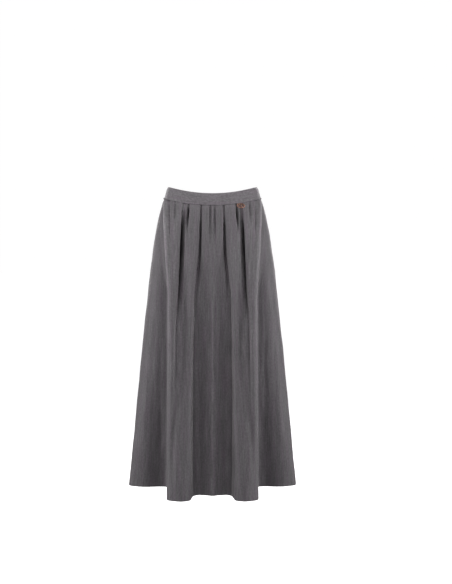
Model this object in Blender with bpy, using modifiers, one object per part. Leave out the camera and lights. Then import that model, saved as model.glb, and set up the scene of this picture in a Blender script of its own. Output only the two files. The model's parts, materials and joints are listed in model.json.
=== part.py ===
"""A gathered maxi skirt in grey melange suiting, in the hollow form it has when it is worn.

Metres, +Z up. The origin is the middle of the waist opening, level with the waistband's top edge at the
hips. The front faces -Y. Every outline is given for the half at +X and mirrored: it starts at the centre
front, passes the side seam and ends at the centre back.
"""

import math
from collections import namedtuple

import bmesh
import bpy
import numpy as np
from mathutils import Euler, Matrix, Vector

# Driving dimensions of the waistband
WAIST_HALF_WIDTH = 0.1345
WAIST_HALF_DEPTH = 0.0900
BAND_HEIGHT = 0.0363
BAND_FLARE_SIDE = 0.0100
BAND_FLARE_FRONT = 0.0070
BAND_THICKNESS = 0.0024
FRONT_DIP = 0.0216
BACK_DIP = 0.0160
BAND_COLUMNS = 25
BAND_ROWS = 3

# Driving dimensions of the skirt
SIDE_LENGTH = 0.8916
CLOTH_THICKNESS = 0.0016
SEAM_GAP = 0.0003
ZIP_GAP = 0.0008
PUFF = 0.0030
PUFF_FALL = 0.045
BACK_DRIFT = 0.010
BACK_SKEW = 0.035

# How far down the cloth each row of faces lies: 0 is the waistband seam and 1 the hem
ROW_FALLS = (0.0, 0.022, 0.05, 0.085, 0.125, 0.17, 0.23, 0.31, 0.41, 0.53, 0.67, 0.83, 1.0)
COLUMN_STEP = 0.0210
CLOSEST_COLUMN = 0.0060
SEAM_COLUMN = 0.0025
TUCK_COLUMNS = (-1.0, -0.5, 0.0, 0.5, 1.0)

# The levels that the fold lines are given at, as falls
LEVELS = (0.0, 0.16, 0.34, 1.0)

# A ridge or a hollow that runs down the skirt. x is its distance from the centre line at each level, and
# out is how far it stands in front of the side seams, or behind them on the back.
Line = namedtuple("Line", "name x_seam x_hip x_thigh x_hem out_hip out_thigh out_hem")
FRONT_LINES = (
    Line("centre ridge", 0.0000, 0.0000, 0.0000, 0.0000, 0.1135, 0.1225, 0.1530),
    Line("centre hollow", 0.0130, 0.0140, 0.0150, 0.0170, 0.1120, 0.1190, 0.1515),
    Line("inner trough", 0.0250, 0.0280, 0.0330, 0.0370, 0.1095, 0.1135, 0.1535),
    Line("inner wall foot", 0.0335, 0.0370, 0.0495, 0.0515, 0.1065, 0.1100, 0.1675),
    Line("inner edge", 0.0370, 0.0425, 0.0550, 0.0575, 0.1095, 0.1270, 0.2020),
    Line("inner shoulder", 0.0440, 0.0490, 0.0600, 0.0630, 0.1100, 0.1300, 0.2195),
    Line("inner crest", 0.0560, 0.0600, 0.0705, 0.0750, 0.1065, 0.1275, 0.2300),
    Line("crest", 0.0670, 0.0740, 0.0825, 0.0890, 0.1020, 0.1215, 0.2345),
    Line("long tuck", 0.0830, 0.0903, 0.0945, 0.1030, 0.0965, 0.1230, 0.2315),
    Line("outer face", 0.0970, 0.1010, 0.1050, 0.1150, 0.0965, 0.1285, 0.2265),
    Line("outer shoulder", 0.1200, 0.1190, 0.1180, 0.1255, 0.0910, 0.1260, 0.2190),
    Line("outer edge", 0.1420, 0.1370, 0.1275, 0.1305, 0.0855, 0.1190, 0.2060),
    Line("outer wall", 0.1427, 0.1396, 0.1284, 0.1313, 0.0755, 0.1030, 0.1320),
    Line("outer wall foot", 0.1432, 0.1425, 0.1297, 0.1323, 0.0690, 0.0840, 0.0640),
    Line("side hollow foot", 0.1436, 0.1485, 0.1335, 0.1365, 0.0645, 0.0705, 0.0370),
    Line("side hollow", 0.1439, 0.1590, 0.1500, 0.1580, 0.0570, 0.0690, 0.0320),
    Line("side ridge", 0.1442, 0.1690, 0.1710, 0.1920, 0.0390, 0.0610, 0.0370),
    Line("side face", 0.1441, 0.1732, 0.1875, 0.2275, 0.0220, 0.0385, 0.0290),
    Line("side shoulder", 0.1444, 0.1747, 0.1936, 0.2480, 0.0095, 0.0135, 0.0140),
)
SIDE_LINE = Line("side seam", 0.1445, 0.1753, 0.1945, 0.2515, 0.0, 0.0, 0.0)
BACK_LINES = (
    Line("side shoulder", 0.1438, 0.1739, 0.1932, 0.2490, 0.0150, 0.0190, 0.0290),
    Line("side face", 0.1420, 0.1694, 0.1880, 0.2390, 0.0350, 0.0430, 0.0590),
    Line("side ridge", 0.1390, 0.1640, 0.1780, 0.2200, 0.0560, 0.0680, 0.0880),
    Line("side hollow", 0.1350, 0.1560, 0.1640, 0.1870, 0.0730, 0.0870, 0.0990),
    Line("outer wall foot", 0.1305, 0.1490, 0.1530, 0.1650, 0.0840, 0.1010, 0.1150),
    Line("outer wall", 0.1260, 0.1430, 0.1460, 0.1540, 0.0920, 0.1130, 0.1520),
    Line("outer edge", 0.1200, 0.1360, 0.1380, 0.1465, 0.1000, 0.1260, 0.1880),
    Line("outer shoulder", 0.1090, 0.1240, 0.1260, 0.1320, 0.1080, 0.1390, 0.2080),
    Line("crest", 0.0940, 0.1080, 0.1100, 0.1120, 0.1140, 0.1440, 0.2140),
    Line("inner shoulder", 0.0770, 0.0890, 0.0930, 0.0920, 0.1180, 0.1410, 0.1980),
    Line("inner wall", 0.0640, 0.0740, 0.0780, 0.0780, 0.1190, 0.1330, 0.1700),
    Line("inner trough", 0.0500, 0.0580, 0.0610, 0.0610, 0.1200, 0.1310, 0.1520),
    Line("centre face", 0.0280, 0.0320, 0.0340, 0.0330, 0.1240, 0.1370, 0.1540),
    Line("centre back", 0.0000, 0.0000, 0.0000, 0.0000, 0.1250, 0.1385, 0.1600),
)

# A tuck that the waistband seam holds. It dips behind its neighbours by seam_depth at the seam and by
# depth where it is deepest, then fades out. Its widths are of cloth, towards the centre and the side.
Tuck = namedtuple("Tuck", "x_seam seam_depth depth deepest end centre_width side_width")
FRONT_TUCKS = (
    Tuck(0.0058, 0.0012, 0.0036, 0.030, 0.15, 0.0060, 0.0060),
    Tuck(0.0335, 0.0018, 0.0110, 0.110, 0.60, 0.0180, 0.0300),
    Tuck(0.0700, 0.0020, 0.0095, 0.032, 0.15, 0.0065, 0.0055),
    Tuck(0.0830, 0.0022, 0.0230, 0.160, 0.60, 0.0105, 0.0060),
    Tuck(0.1120, 0.0012, 0.0030, 0.020, 0.10, 0.0050, 0.0050),
    Tuck(0.1265, 0.0016, 0.0050, 0.030, 0.15, 0.0055, 0.0050),
)
BACK_TUCKS = (
    Tuck(0.0240, 0.0014, 0.0040, 0.035, 0.22, 0.0080, 0.0070),
    Tuck(0.0560, 0.0018, 0.0100, 0.110, 0.62, 0.0110, 0.0070),
    Tuck(0.0780, 0.0018, 0.0075, 0.040, 0.19, 0.0075, 0.0065),
    Tuck(0.1010, 0.0020, 0.0160, 0.200, 0.74, 0.0110, 0.0070),
    Tuck(0.1180, 0.0014, 0.0040, 0.035, 0.15, 0.0065, 0.0060),
)

# Driving dimensions of the ornament, which is centred on a point of the front panel
ORNAMENT_X = 0.0805
ORNAMENT_Z = -0.0592
ORNAMENT_WIDTH = 0.0262
ORNAMENT_HEIGHT = 0.0156
ORNAMENT_RIM = 0.0017
ORNAMENT_THICKNESS = 0.0014
ORNAMENT_TURN = math.radians(24)
ORNAMENT_LEAN = math.radians(14)
LATTICE_THICKNESS = 0.0010
LATTICE_BAR = 0.0009
LATTICE_PITCH = 0.0052
LATTICE_ANGLE = math.radians(52)
LATTICE_BARS = 2
OVAL_SEGMENTS = 40

# Driving dimensions of the zip's slider and pull tab, at the centre back of the waistband
SLIDER_DROP = 0.0115
SLIDER_WIDTH = 0.0064
SLIDER_HEIGHT = 0.0092
SLIDER_PLATE = 0.0014
SLIDER_EDGE = 0.0004
BAIL_RADIUS = 0.00245
BAIL_WIRE = 0.0011
BAIL_WIDTH = 0.0020
PIVOT_STANDOFF = 0.0015
TAB_LENGTH = 0.0190
TAB_TOP_WIDTH = 0.0052
TAB_END_WIDTH = 0.0070
TAB_THICKNESS = 0.0010
TAB_BAR = 0.0006
TAB_WINDOW_WIDTH = 0.0029
TAB_WINDOW_END = 0.0035
TAB_LEAN = math.radians(5)
TAB_END_SEGMENTS = 12

# Colours are linear RGB
SUITING = (0.135, 0.126, 0.129)
ROSE_GOLD = (0.52, 0.20, 0.12)
ZINC = (0.17, 0.17, 0.18)


def clear_scene():
    """Removes every object, so that the scene holds the skirt alone."""
    for obj in list(bpy.data.objects):
        bpy.data.objects.remove(obj, do_unlink=True)


def new_collection(name):
    collection = bpy.data.collections.new(name)
    bpy.context.scene.collection.children.link(collection)
    return collection


def new_material(name, colour, roughness, metallic):
    """A Principled BSDF of one colour."""
    material = bpy.data.materials.new(name)
    material.use_nodes = True
    shader = material.node_tree.nodes["Principled BSDF"]
    shader.inputs["Base Color"].default_value = (*colour, 1.0)
    shader.inputs["Roughness"].default_value = roughness
    shader.inputs["Metallic"].default_value = metallic
    return material


def new_object(name, mesh_maker, collection, material=None):
    """An object whose mesh is what the edited bmesh holds."""
    mesh = bpy.data.meshes.new(name)
    mesh_maker.to_mesh(mesh)
    mesh_maker.free()
    obj = bpy.data.objects.new(name, mesh)
    if material:
        mesh.materials.append(material)
    collection.objects.link(obj)
    return obj


def solidify(obj, thickness):
    """Gives an open surface its wall, inwards from the face that shows."""
    wall = obj.modifiers.new("wall", "SOLIDIFY")
    wall.thickness = thickness
    wall.offset = -1.0


def boolean(obj, operation, other):
    """Joins another solid to this one, cuts it away or keeps what they share. The other rides with it."""
    step = obj.modifiers.new(operation.lower(), "BOOLEAN")
    step.operation = operation
    step.object = other
    other.parent = obj


def smooth_step(share):
    share = min(max(share, 0.0), 1.0)
    return share * share * (3.0 - 2.0 * share)


def track(at, stations, values):
    """The smooth curve through the values at the stations that never passes beyond them, read at `at`."""
    stations = np.asarray(stations, float)
    values = np.asarray(values, float)
    gaps = np.diff(stations)
    steps = np.diff(values) / gaps
    slopes = np.concatenate([steps[:1], np.zeros(len(values) - 2), steps[-1:]])
    for i in range(1, len(values) - 1):
        if steps[i - 1] * steps[i] > 0.0:
            before = 2.0 * gaps[i] + gaps[i - 1]
            after = gaps[i] + 2.0 * gaps[i - 1]
            slopes[i] = (before + after) / (before / steps[i - 1] + after / steps[i])
    at = np.asarray(at, float)
    span = np.clip(np.searchsorted(stations, at, side="right") - 1, 0, len(gaps) - 1)
    u = (at - stations[span]) / gaps[span]
    rise = values[span + 1] - values[span]
    return (
        values[span]
        + rise * u * u * (3.0 - 2.0 * u)
        + gaps[span] * slopes[span] * u * (1.0 - u) ** 2
        - gaps[span] * slopes[span + 1] * u * u * (1.0 - u)
    )


def band_outline(angle, drop):
    """A point of the waistband's outer face. The angle runs from the centre front, 0, to the back, pi."""
    x = (WAIST_HALF_WIDTH + BAND_FLARE_SIDE * drop) * math.sin(angle)
    out = (WAIST_HALF_DEPTH + BAND_FLARE_FRONT * drop) * math.cos(angle)
    dip = FRONT_DIP if math.cos(angle) > 0.0 else BACK_DIP
    return Vector((x, -out, -dip * math.cos(angle) ** 2 - BAND_HEIGHT * drop))


def band_panel(name, start, end, columns, collection, material):
    """A length of waistband between two angles, as a grid that is bent round and given its wall."""
    grid = bmesh.new()
    bmesh.ops.create_grid(grid, x_segments=columns - 1, y_segments=BAND_ROWS - 1, size=0.5)
    for vert in grid.verts:
        angle = start + (end - start) * (vert.co.x + 0.5)
        vert.co = band_outline(angle, 0.5 - vert.co.y)
    panel = new_object(name, grid, collection, material)
    solidify(panel, BAND_THICKNESS)
    return panel


class Skirt:
    """The outer face of the gathered cloth, read by its place across the cloth and its fall."""

    def __init__(self):
        lines = FRONT_LINES + (SIDE_LINE,) + BACK_LINES
        facing = [1.0] * (len(FRONT_LINES) + 1) + [-1.0] * len(BACK_LINES)
        self.x = np.array([[line.x_seam, line.x_hip, line.x_thigh, line.x_hem] for line in lines])
        seam_half_width = WAIST_HALF_WIDTH + BAND_FLARE_SIDE
        seam_half_depth = WAIST_HALF_DEPTH + BAND_FLARE_FRONT
        out_seam = seam_half_depth * np.sqrt(np.clip(1.0 - (self.x[:, 0] / seam_half_width) ** 2, 0.0, 1.0))
        out = np.array([[line.out_hip, line.out_thigh, line.out_hem] for line in lines])
        self.out = np.column_stack([out_seam, out]) * np.array(facing)[:, None]
        hem_steps = np.hypot(np.diff(self.x[:, -1]), np.diff(self.out[:, -1]))
        self.cloth = np.concatenate([[0.0], np.cumsum(hem_steps)])
        self.side = self.cloth[len(FRONT_LINES)]
        self.back = self.cloth[-1]
        self.tucks = self.place_tucks()

    def place_tucks(self):
        """Each tuck with its place across the cloth."""
        front = len(FRONT_LINES) + 1
        placed = []
        for tuck in FRONT_TUCKS:
            placed.append((np.interp(tuck.x_seam, self.x[:front, 0], self.cloth[:front]), tuck, 1.0))
        for tuck in BACK_TUCKS:
            back_x = self.x[front - 1 :, 0][::-1]
            back_cloth = self.cloth[front - 1 :][::-1]
            placed.append((np.interp(tuck.x_seam, back_x, back_cloth), tuck, -1.0))
        return placed

    def plain_ring(self, fall, cloth):
        """x and out of the ring at a fall, before its tucks, for places across the +X half."""
        x = [float(track(fall, LEVELS, values)) for values in self.x]
        out = [float(track(fall, LEVELS, values)) for values in self.out]
        place = np.concatenate([[-self.cloth[1]], self.cloth, [2.0 * self.back - self.cloth[-2]]])
        x = np.concatenate([[-x[1]], x, [-x[-2]]])
        out = np.concatenate([[out[1]], out, [out[-2]]])
        return track(cloth, place, x), track(cloth, place, out)

    def tuck_depth(self, fall, cloth):
        """How far the tucks pull each place inwards."""
        depth = np.zeros(len(cloth))
        for place, tuck, facing in self.tucks:
            if fall < tuck.deepest:
                held = smooth_step(fall / tuck.deepest)
                pull = tuck.seam_depth + (tuck.depth - tuck.seam_depth) * held
            else:
                pull = tuck.depth * (1.0 - smooth_step((fall - tuck.deepest) / (tuck.end - tuck.deepest)))
            towards_side = (cloth - place) * facing
            width = np.where(towards_side > 0.0, tuck.side_width, tuck.centre_width)
            share = np.clip(np.abs(towards_side) / width, 0.0, 1.0)
            depth += pull * 0.5 * (1.0 + np.cos(math.pi * share))
        return depth

    def ring(self, fall, cloth):
        """World points of one ring. cloth is measured round from the centre front, positive towards +X."""
        cloth = np.asarray(cloth, float)
        half = np.abs(cloth)
        x, out = self.plain_ring(fall, half)
        reach = 0.0005
        x_before, out_before = self.plain_ring(fall, half - reach)
        x_after, out_after = self.plain_ring(fall, half + reach)
        across = np.column_stack([x_after - x_before, out_after - out_before])
        across /= np.linalg.norm(across, axis=1)[:, None]
        seam_x = self.plain_ring(0.0, half)[0] / (WAIST_HALF_WIDTH + BAND_FLARE_SIDE)
        puff = PUFF * (fall / PUFF_FALL) * math.exp(1.0 - fall / PUFF_FALL)
        outwards = puff - self.tuck_depth(fall, half)
        x = x - across[:, 1] * outwards
        out = out + across[:, 0] * outwards
        x = np.copysign(1.0, cloth) * x
        behind = out < 0.0
        half_width = float(track(fall, LEVELS, self.x[len(FRONT_LINES)])) + puff
        middle = np.cos(0.5 * math.pi * np.clip(np.abs(x) / half_width, 0.0, 1.0))
        x = x + behind * BACK_DRIFT * fall * middle
        out = out * (1.0 + behind * BACK_SKEW * fall * x / SIDE_LINE.x_hem)
        dip = np.where(half < self.side, FRONT_DIP, BACK_DIP)
        top = -BAND_HEIGHT - SEAM_GAP - dip * (1.0 - np.clip(seam_x, -1.0, 1.0) ** 2)
        top -= self.tuck_depth(0.0, half) * BAND_FLARE_SIDE / BAND_HEIGHT
        z = top + (-SIDE_LENGTH - top) * fall
        return np.column_stack([x, -out, z])

    def columns(self, start, end):
        """Places across the cloth between two seams: even ones, with closer ones over each tuck."""
        count = int(round(abs(end - start) / COLUMN_STEP)) + 1
        even = np.linspace(start, end, count)
        over_tucks = []
        for place, tuck, facing in self.tucks:
            for side in (-1.0, 1.0):
                for share in TUCK_COLUMNS:
                    width = tuck.side_width if share > 0.0 else tuck.centre_width
                    over_tucks.append(side * (place + share * width * facing))
        low, high = min(start, end), max(start, end)
        kept = [place for place in over_tucks if low + CLOSEST_COLUMN < place < high - CLOSEST_COLUMN]
        spaced = [low, low + SEAM_COLUMN, high - SEAM_COLUMN, high]
        for place in kept:
            if min(abs(place - other) for other in spaced) > 0.3 * CLOSEST_COLUMN:
                spaced.append(place)
        for place in even:
            if min(abs(place - other) for other in spaced) > CLOSEST_COLUMN:
                spaced.append(place)
        return sorted(spaced)

    def panel(self, name, start, end, collection, material):
        """A panel between two places across the cloth, half a seam gap inside each of them."""
        columns = self.columns(start, end)
        rows = np.array([self.ring(fall, columns) for fall in ROW_FALLS])
        for edge, neighbour in ((0, 1), (-1, -2)):
            inwards = rows[:, neighbour] - rows[:, edge]
            inwards /= np.linalg.norm(inwards, axis=1)[:, None]
            rows[:, edge] += inwards * 0.5 * SEAM_GAP
        grid = bmesh.new()
        bmesh.ops.create_grid(grid, x_segments=len(columns) - 1, y_segments=len(ROW_FALLS) - 1, size=0.5)
        for vert in grid.verts:
            column = round((vert.co.x + 0.5) * (len(columns) - 1))
            row = round((0.5 - vert.co.y) * (len(ROW_FALLS) - 1))
            vert.co = rows[row, column]
        panel = new_object(name, grid, collection, material)
        solidify(panel, CLOTH_THICKNESS)
        return panel


def oval(name, width, height, thickness, collection, material=None):
    """An upright oval plate, centred on its origin and facing -Y."""
    plate = bmesh.new()
    bmesh.ops.create_cone(
        plate, cap_ends=True, segments=OVAL_SEGMENTS, radius1=0.5, radius2=0.5, depth=thickness
    )
    flat = Matrix.Rotation(math.radians(90), 4, "X") @ Matrix.Diagonal((width, height, 1.0, 1.0))
    bmesh.ops.transform(plate, matrix=flat, verts=plate.verts)
    return new_object(name, plate, collection, material)


def block(name, size, collection, matrix=None, material=None):
    """A box of the given size, centred on its origin before the matrix moves it."""
    box = bmesh.new()
    bmesh.ops.create_cube(box, size=1.0)
    bmesh.ops.transform(box, matrix=Matrix.Diagonal((*size, 1.0)), verts=box.verts)
    if matrix:
        bmesh.ops.transform(box, matrix=matrix, verts=box.verts)
    return new_object(name, box, collection, material)


def build_ornament(front, collection, cutters, material):
    """An oval frame filled with a plain lattice, sewn on just below the waistband."""
    ornament = oval("ornament", ORNAMENT_WIDTH, ORNAMENT_HEIGHT, ORNAMENT_THICKNESS, collection, material)
    inner_width = ORNAMENT_WIDTH - 2.0 * ORNAMENT_RIM
    inner_height = ORNAMENT_HEIGHT - 2.0 * ORNAMENT_RIM
    opening = oval("ornament_opening", inner_width, inner_height, 2.0 * ORNAMENT_THICKNESS, cutters)
    boolean(ornament, "DIFFERENCE", opening)
    field = oval(
        "lattice_field",
        ORNAMENT_WIDTH - ORNAMENT_RIM,
        ORNAMENT_HEIGHT - ORNAMENT_RIM,
        2.0 * ORNAMENT_THICKNESS,
        cutters,
    )
    lattice = None
    for way, thickness in ((1.0, LATTICE_THICKNESS), (-1.0, LATTICE_THICKNESS * 0.9)):
        for number in range(-LATTICE_BARS, LATTICE_BARS + 1):
            turn = Matrix.Rotation(way * LATTICE_ANGLE, 4, "Y")
            place = Matrix.Translation((number * LATTICE_PITCH, 0.0, 0.0)) @ turn
            name = f"lattice_bar_{'up' if way > 0 else 'down'}_{number + LATTICE_BARS}"
            bar = block(name, (2.0 * ORNAMENT_HEIGHT, thickness, LATTICE_BAR), cutters, place)
            if lattice is None:
                lattice = bar
            else:
                boolean(lattice, "UNION", bar)
    boolean(lattice, "INTERSECT", field)
    boolean(ornament, "UNION", lattice)
    turn = Euler((-ORNAMENT_LEAN, 0.0, ORNAMENT_TURN)).to_matrix()
    facing = turn @ Vector((0.0, -1.0, 0.0))
    flat_x = turn @ Vector((1.0, 0.0, 0.0))
    flat_z = turn @ Vector((0.0, 0.0, 1.0))
    seat = Vector((ORNAMENT_X, 0.0, ORNAMENT_Z))
    on_panel = [vert.co for vert in front.data.vertices if vert.co.y < 0.0]
    seat.y = min(on_panel, key=lambda co: (co.x - seat.x) ** 2 + (co.z - seat.z) ** 2).y
    proud = 0.0
    for point in surface_points(front):
        away = point - seat
        if abs(away.dot(flat_x)) < 0.5 * ORNAMENT_WIDTH and abs(away.dot(flat_z)) < 0.5 * ORNAMENT_HEIGHT:
            proud = max(proud, away.dot(facing))
    ornament.location = seat + facing * (proud + SEAM_GAP + 0.5 * ORNAMENT_THICKNESS)
    ornament.rotation_euler = turn.to_euler()
    return ornament


def surface_points(obj):
    """The points of an open surface, with the middles of its edges and faces."""
    mesh = obj.data
    corners = [vert.co.copy() for vert in mesh.vertices]
    middles = [(corners[edge.vertices[0]] + corners[edge.vertices[1]]) / 2.0 for edge in mesh.edges]
    centres = [face.center.copy() for face in mesh.polygons]
    return corners + middles + centres


def build_slider(collection, cutters, material):
    """The zip's slider: a plate on the waistband with an arched bail that holds the pull tab."""
    slider = block("zip_slider", (SLIDER_WIDTH, SLIDER_PLATE, SLIDER_HEIGHT), collection, None, material)
    edge = slider.modifiers.new("rounded edge", "BEVEL")
    edge.width = SLIDER_EDGE
    edge.segments = 2
    plate_face = 0.5 * SLIDER_PLATE
    pivot = Vector((0.0, plate_face + PIVOT_STANDOFF, 0.0))
    outer = BAIL_RADIUS + 0.5 * BAIL_WIRE
    inner = BAIL_RADIUS - 0.5 * BAIL_WIRE
    bail = turned_disc("bail", outer, BAIL_WIDTH, pivot, cutters)
    legs = block(
        "bail_legs",
        (BAIL_WIDTH, PIVOT_STANDOFF + plate_face, 2.0 * outer),
        cutters,
        Matrix.Translation((0.0, 0.5 * pivot.y, 0.0)),
    )
    boolean(bail, "UNION", legs)
    tunnel = turned_disc("bail_tunnel", inner, 2.0 * BAIL_WIDTH, pivot, cutters)
    boolean(bail, "DIFFERENCE", tunnel)
    passage = block(
        "bail_passage",
        (2.0 * BAIL_WIDTH, pivot.y - plate_face + SLIDER_EDGE, 2.0 * inner),
        cutters,
        Matrix.Translation((0.0, 0.5 * (pivot.y + plate_face - SLIDER_EDGE), 0.0)),
    )
    boolean(bail, "DIFFERENCE", passage)
    boolean(slider, "UNION", bail)
    return slider


def turned_disc(name, radius, width, centre, collection):
    """A disc with its axis along X."""
    disc = bmesh.new()
    bmesh.ops.create_cone(disc, cap_ends=True, segments=24, radius1=radius, radius2=radius, depth=width)
    turn = Matrix.Translation(centre) @ Matrix.Rotation(math.radians(90), 4, "Y")
    bmesh.ops.transform(disc, matrix=turn, verts=disc.verts)
    return new_object(name, disc, collection)


def build_tab(collection, material):
    """The pull tab: a flat plate with a round end, and a window that the slider's bail passes through."""
    outline = bpy.data.curves.new("zip_pull_tab", "CURVE")
    outline.dimensions = "2D"
    outline.fill_mode = "BOTH"
    outline.extrude = 0.5 * TAB_THICKNESS
    end_radius = 0.5 * TAB_END_WIDTH
    round_centre = TAB_LENGTH - end_radius
    edge = [(-0.5 * TAB_TOP_WIDTH, TAB_BAR), (0.5 * TAB_TOP_WIDTH, TAB_BAR)]
    for step in range(TAB_END_SEGMENTS + 1):
        angle = math.pi * step / TAB_END_SEGMENTS
        edge.append((end_radius * math.cos(angle), -round_centre - end_radius * math.sin(angle)))
    half = 0.5 * TAB_WINDOW_WIDTH
    window = [(-half, -TAB_BAR), (half, -TAB_BAR), (half, -TAB_WINDOW_END), (-half, -TAB_WINDOW_END)]
    for points in (edge, window):
        spline = outline.splines.new("POLY")
        spline.points.add(len(points) - 1)
        for point, (across, along) in zip(spline.points, points):
            point.co = (across, along, 0.0, 1.0)
        spline.use_cyclic_u = True
    guide = bpy.data.objects.new("tab_outline", outline)
    collection.objects.link(guide)
    evaluated = guide.evaluated_get(bpy.context.evaluated_depsgraph_get())
    plate = bmesh.new()
    plate.from_mesh(bpy.data.meshes.new_from_object(evaluated))
    bpy.data.objects.remove(guide, do_unlink=True)
    bmesh.ops.remove_doubles(plate, verts=plate.verts, dist=0.00001)
    bmesh.ops.transform(plate, matrix=Matrix.Rotation(math.radians(90), 4, "X"), verts=plate.verts)
    return new_object("zip_pull_tab", plate, collection, material)


def place_zip(slider, tab):
    """Seats the slider on the waistband at the centre back and hangs the tab on its pivot."""
    drop = SLIDER_DROP / BAND_HEIGHT
    on_band = band_outline(math.pi, drop)
    slope = math.atan2(BAND_FLARE_FRONT, BAND_HEIGHT)
    lean = Matrix.Rotation(slope, 4, "X")
    outwards = lean.to_3x3() @ Vector((0.0, 1.0, 0.0))
    slider.location = on_band + outwards * (SEAM_GAP + 0.5 * SLIDER_PLATE)
    slider.rotation_euler = (slope, 0.0, 0.0)
    tab.location = slider.location + outwards * (0.5 * SLIDER_PLATE + PIVOT_STANDOFF)
    tab.rotation_euler = (slope - TAB_LEAN, 0.0, 0.0)


def build():
    clear_scene()
    collection = new_collection("maxi_skirt")
    cutters = new_collection("cutters")
    cloth = new_material("melange_suiting", SUITING, 0.85, 0.0)
    gold = new_material("rose_gold_plate", ROSE_GOLD, 0.3, 1.0)
    zinc = new_material("zip_metal", ZINC, 0.4, 1.0)

    side = 0.5 * math.pi
    seam = 0.5 * SEAM_GAP / WAIST_HALF_DEPTH
    closure = 0.5 * ZIP_GAP / WAIST_HALF_WIDTH
    band_panel("waistband_front", seam - side, side - seam, 2 * BAND_COLUMNS - 1, collection, cloth)
    band_panel("waistband_back_right", side + seam, math.pi - closure, BAND_COLUMNS, collection, cloth)
    band_panel("waistband_back_left", closure - math.pi, -side - seam, BAND_COLUMNS, collection, cloth)

    skirt = Skirt()
    front = skirt.panel("front_panel", -skirt.side, skirt.side, collection, cloth)
    skirt.panel("back_panel_right", skirt.side, skirt.back, collection, cloth)
    skirt.panel("back_panel_left", -skirt.back, -skirt.side, collection, cloth)

    build_ornament(front, collection, cutters, gold)
    slider = build_slider(collection, cutters, zinc)
    tab = build_tab(collection, zinc)
    place_zip(slider, tab)

    for obj in collection.objects:
        obj.data.shade_smooth()
        obj.data.set_sharp_from_angle(angle=math.radians(35))
    for cutter in cutters.objects:
        cutter.hide_render = True
        cutter.display_type = "WIRE"


build()
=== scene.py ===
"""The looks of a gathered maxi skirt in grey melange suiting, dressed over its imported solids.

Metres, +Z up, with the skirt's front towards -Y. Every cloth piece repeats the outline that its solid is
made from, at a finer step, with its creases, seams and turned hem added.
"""

import json
import logging
import math
from dataclasses import dataclass, field
from enum import Enum
from typing import Any, Callable, Iterable, NamedTuple, Optional, Sequence

import bpy
import numpy as np
from mathutils import Matrix, Vector


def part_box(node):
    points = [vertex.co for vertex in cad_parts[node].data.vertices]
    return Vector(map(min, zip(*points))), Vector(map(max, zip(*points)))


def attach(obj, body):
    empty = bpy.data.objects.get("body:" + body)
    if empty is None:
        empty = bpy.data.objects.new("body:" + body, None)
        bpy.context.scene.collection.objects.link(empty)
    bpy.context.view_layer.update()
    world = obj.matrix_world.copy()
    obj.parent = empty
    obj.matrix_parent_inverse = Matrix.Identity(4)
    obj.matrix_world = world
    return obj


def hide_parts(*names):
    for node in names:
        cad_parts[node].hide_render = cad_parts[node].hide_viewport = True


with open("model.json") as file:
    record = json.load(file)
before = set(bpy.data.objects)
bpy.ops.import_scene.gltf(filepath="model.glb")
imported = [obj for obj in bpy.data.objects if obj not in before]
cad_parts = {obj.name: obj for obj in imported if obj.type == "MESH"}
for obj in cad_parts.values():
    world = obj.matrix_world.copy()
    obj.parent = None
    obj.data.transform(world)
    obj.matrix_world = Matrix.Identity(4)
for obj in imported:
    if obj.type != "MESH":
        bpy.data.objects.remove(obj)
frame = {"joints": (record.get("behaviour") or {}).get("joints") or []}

LOG = logging.getLogger("maxi_skirt")
MILLIMETRE = 0.001
# Two cloth pieces leave this gap at a seam, as their solids do, and the closure of the waistband is wider.
SEAM_GAP = 0.0003
CLOSURE_GAP = 0.0008
# A wave texture of scale 1 repeats after this distance.
WAVE_STEP = 0.314
# A length round the skirt is measured in this many steps.
MEASURING_STEPS = 4000


# ---- Tables of the worn form ----


class Half(Enum):
    """Which half of the skirt a line, tuck or crease lies on. The value is the way that it faces."""

    FRONT = 1.0
    BACK = -1.0


class Grain(Enum):
    """Which way the warp of a piece of cloth runs."""

    DOWN = "down the piece"
    ALONG = "along the piece"


class Line(NamedTuple):
    """A ridge or hollow that runs down the skirt: x and distance out at the four levels."""

    name: str
    x_seam: float
    x_hip: float
    x_thigh: float
    x_hem: float
    out_hip: float
    out_thigh: float
    out_hem: float


class Tuck(NamedTuple):
    """A fold held by the waistband seam: its place, its depth there and at its deepest, and its widths.

    deepest and end are falls. lean is how far its bottom lies under the cloth beside it, towards the side,
    as a share of its depth.
    """

    x_seam: float
    seam_depth: float
    depth: float
    deepest: float
    end: float
    centre_width: float
    side_width: float
    lean: float


class Crease(NamedTuple):
    """A soft trough (depth above 0) or ridge (below 0), from one x to another between two falls.

    peak is the fall where it is strongest, width its half-width across, and left the share of its depth that
    it has on the -X side.
    """

    x_top: float
    x_end: float
    top: float
    peak: float
    end: float
    depth: float
    width: float
    left: float


class FoldEdge(NamedTuple):
    """A crisp edge along a line, where the fold turns.

    It runs between the falls top and end, stands out by proud at its peak, and is width wide.
    """

    line: str
    half: Half
    top: float
    peak: float
    end: float
    proud: float
    width: float


# The falls at which each line is given: 0 at the waistband seam, the hip, the thigh, and 1 at the hem.
LEVELS = (0.0, 0.16, 0.34, 1.0)

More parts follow.
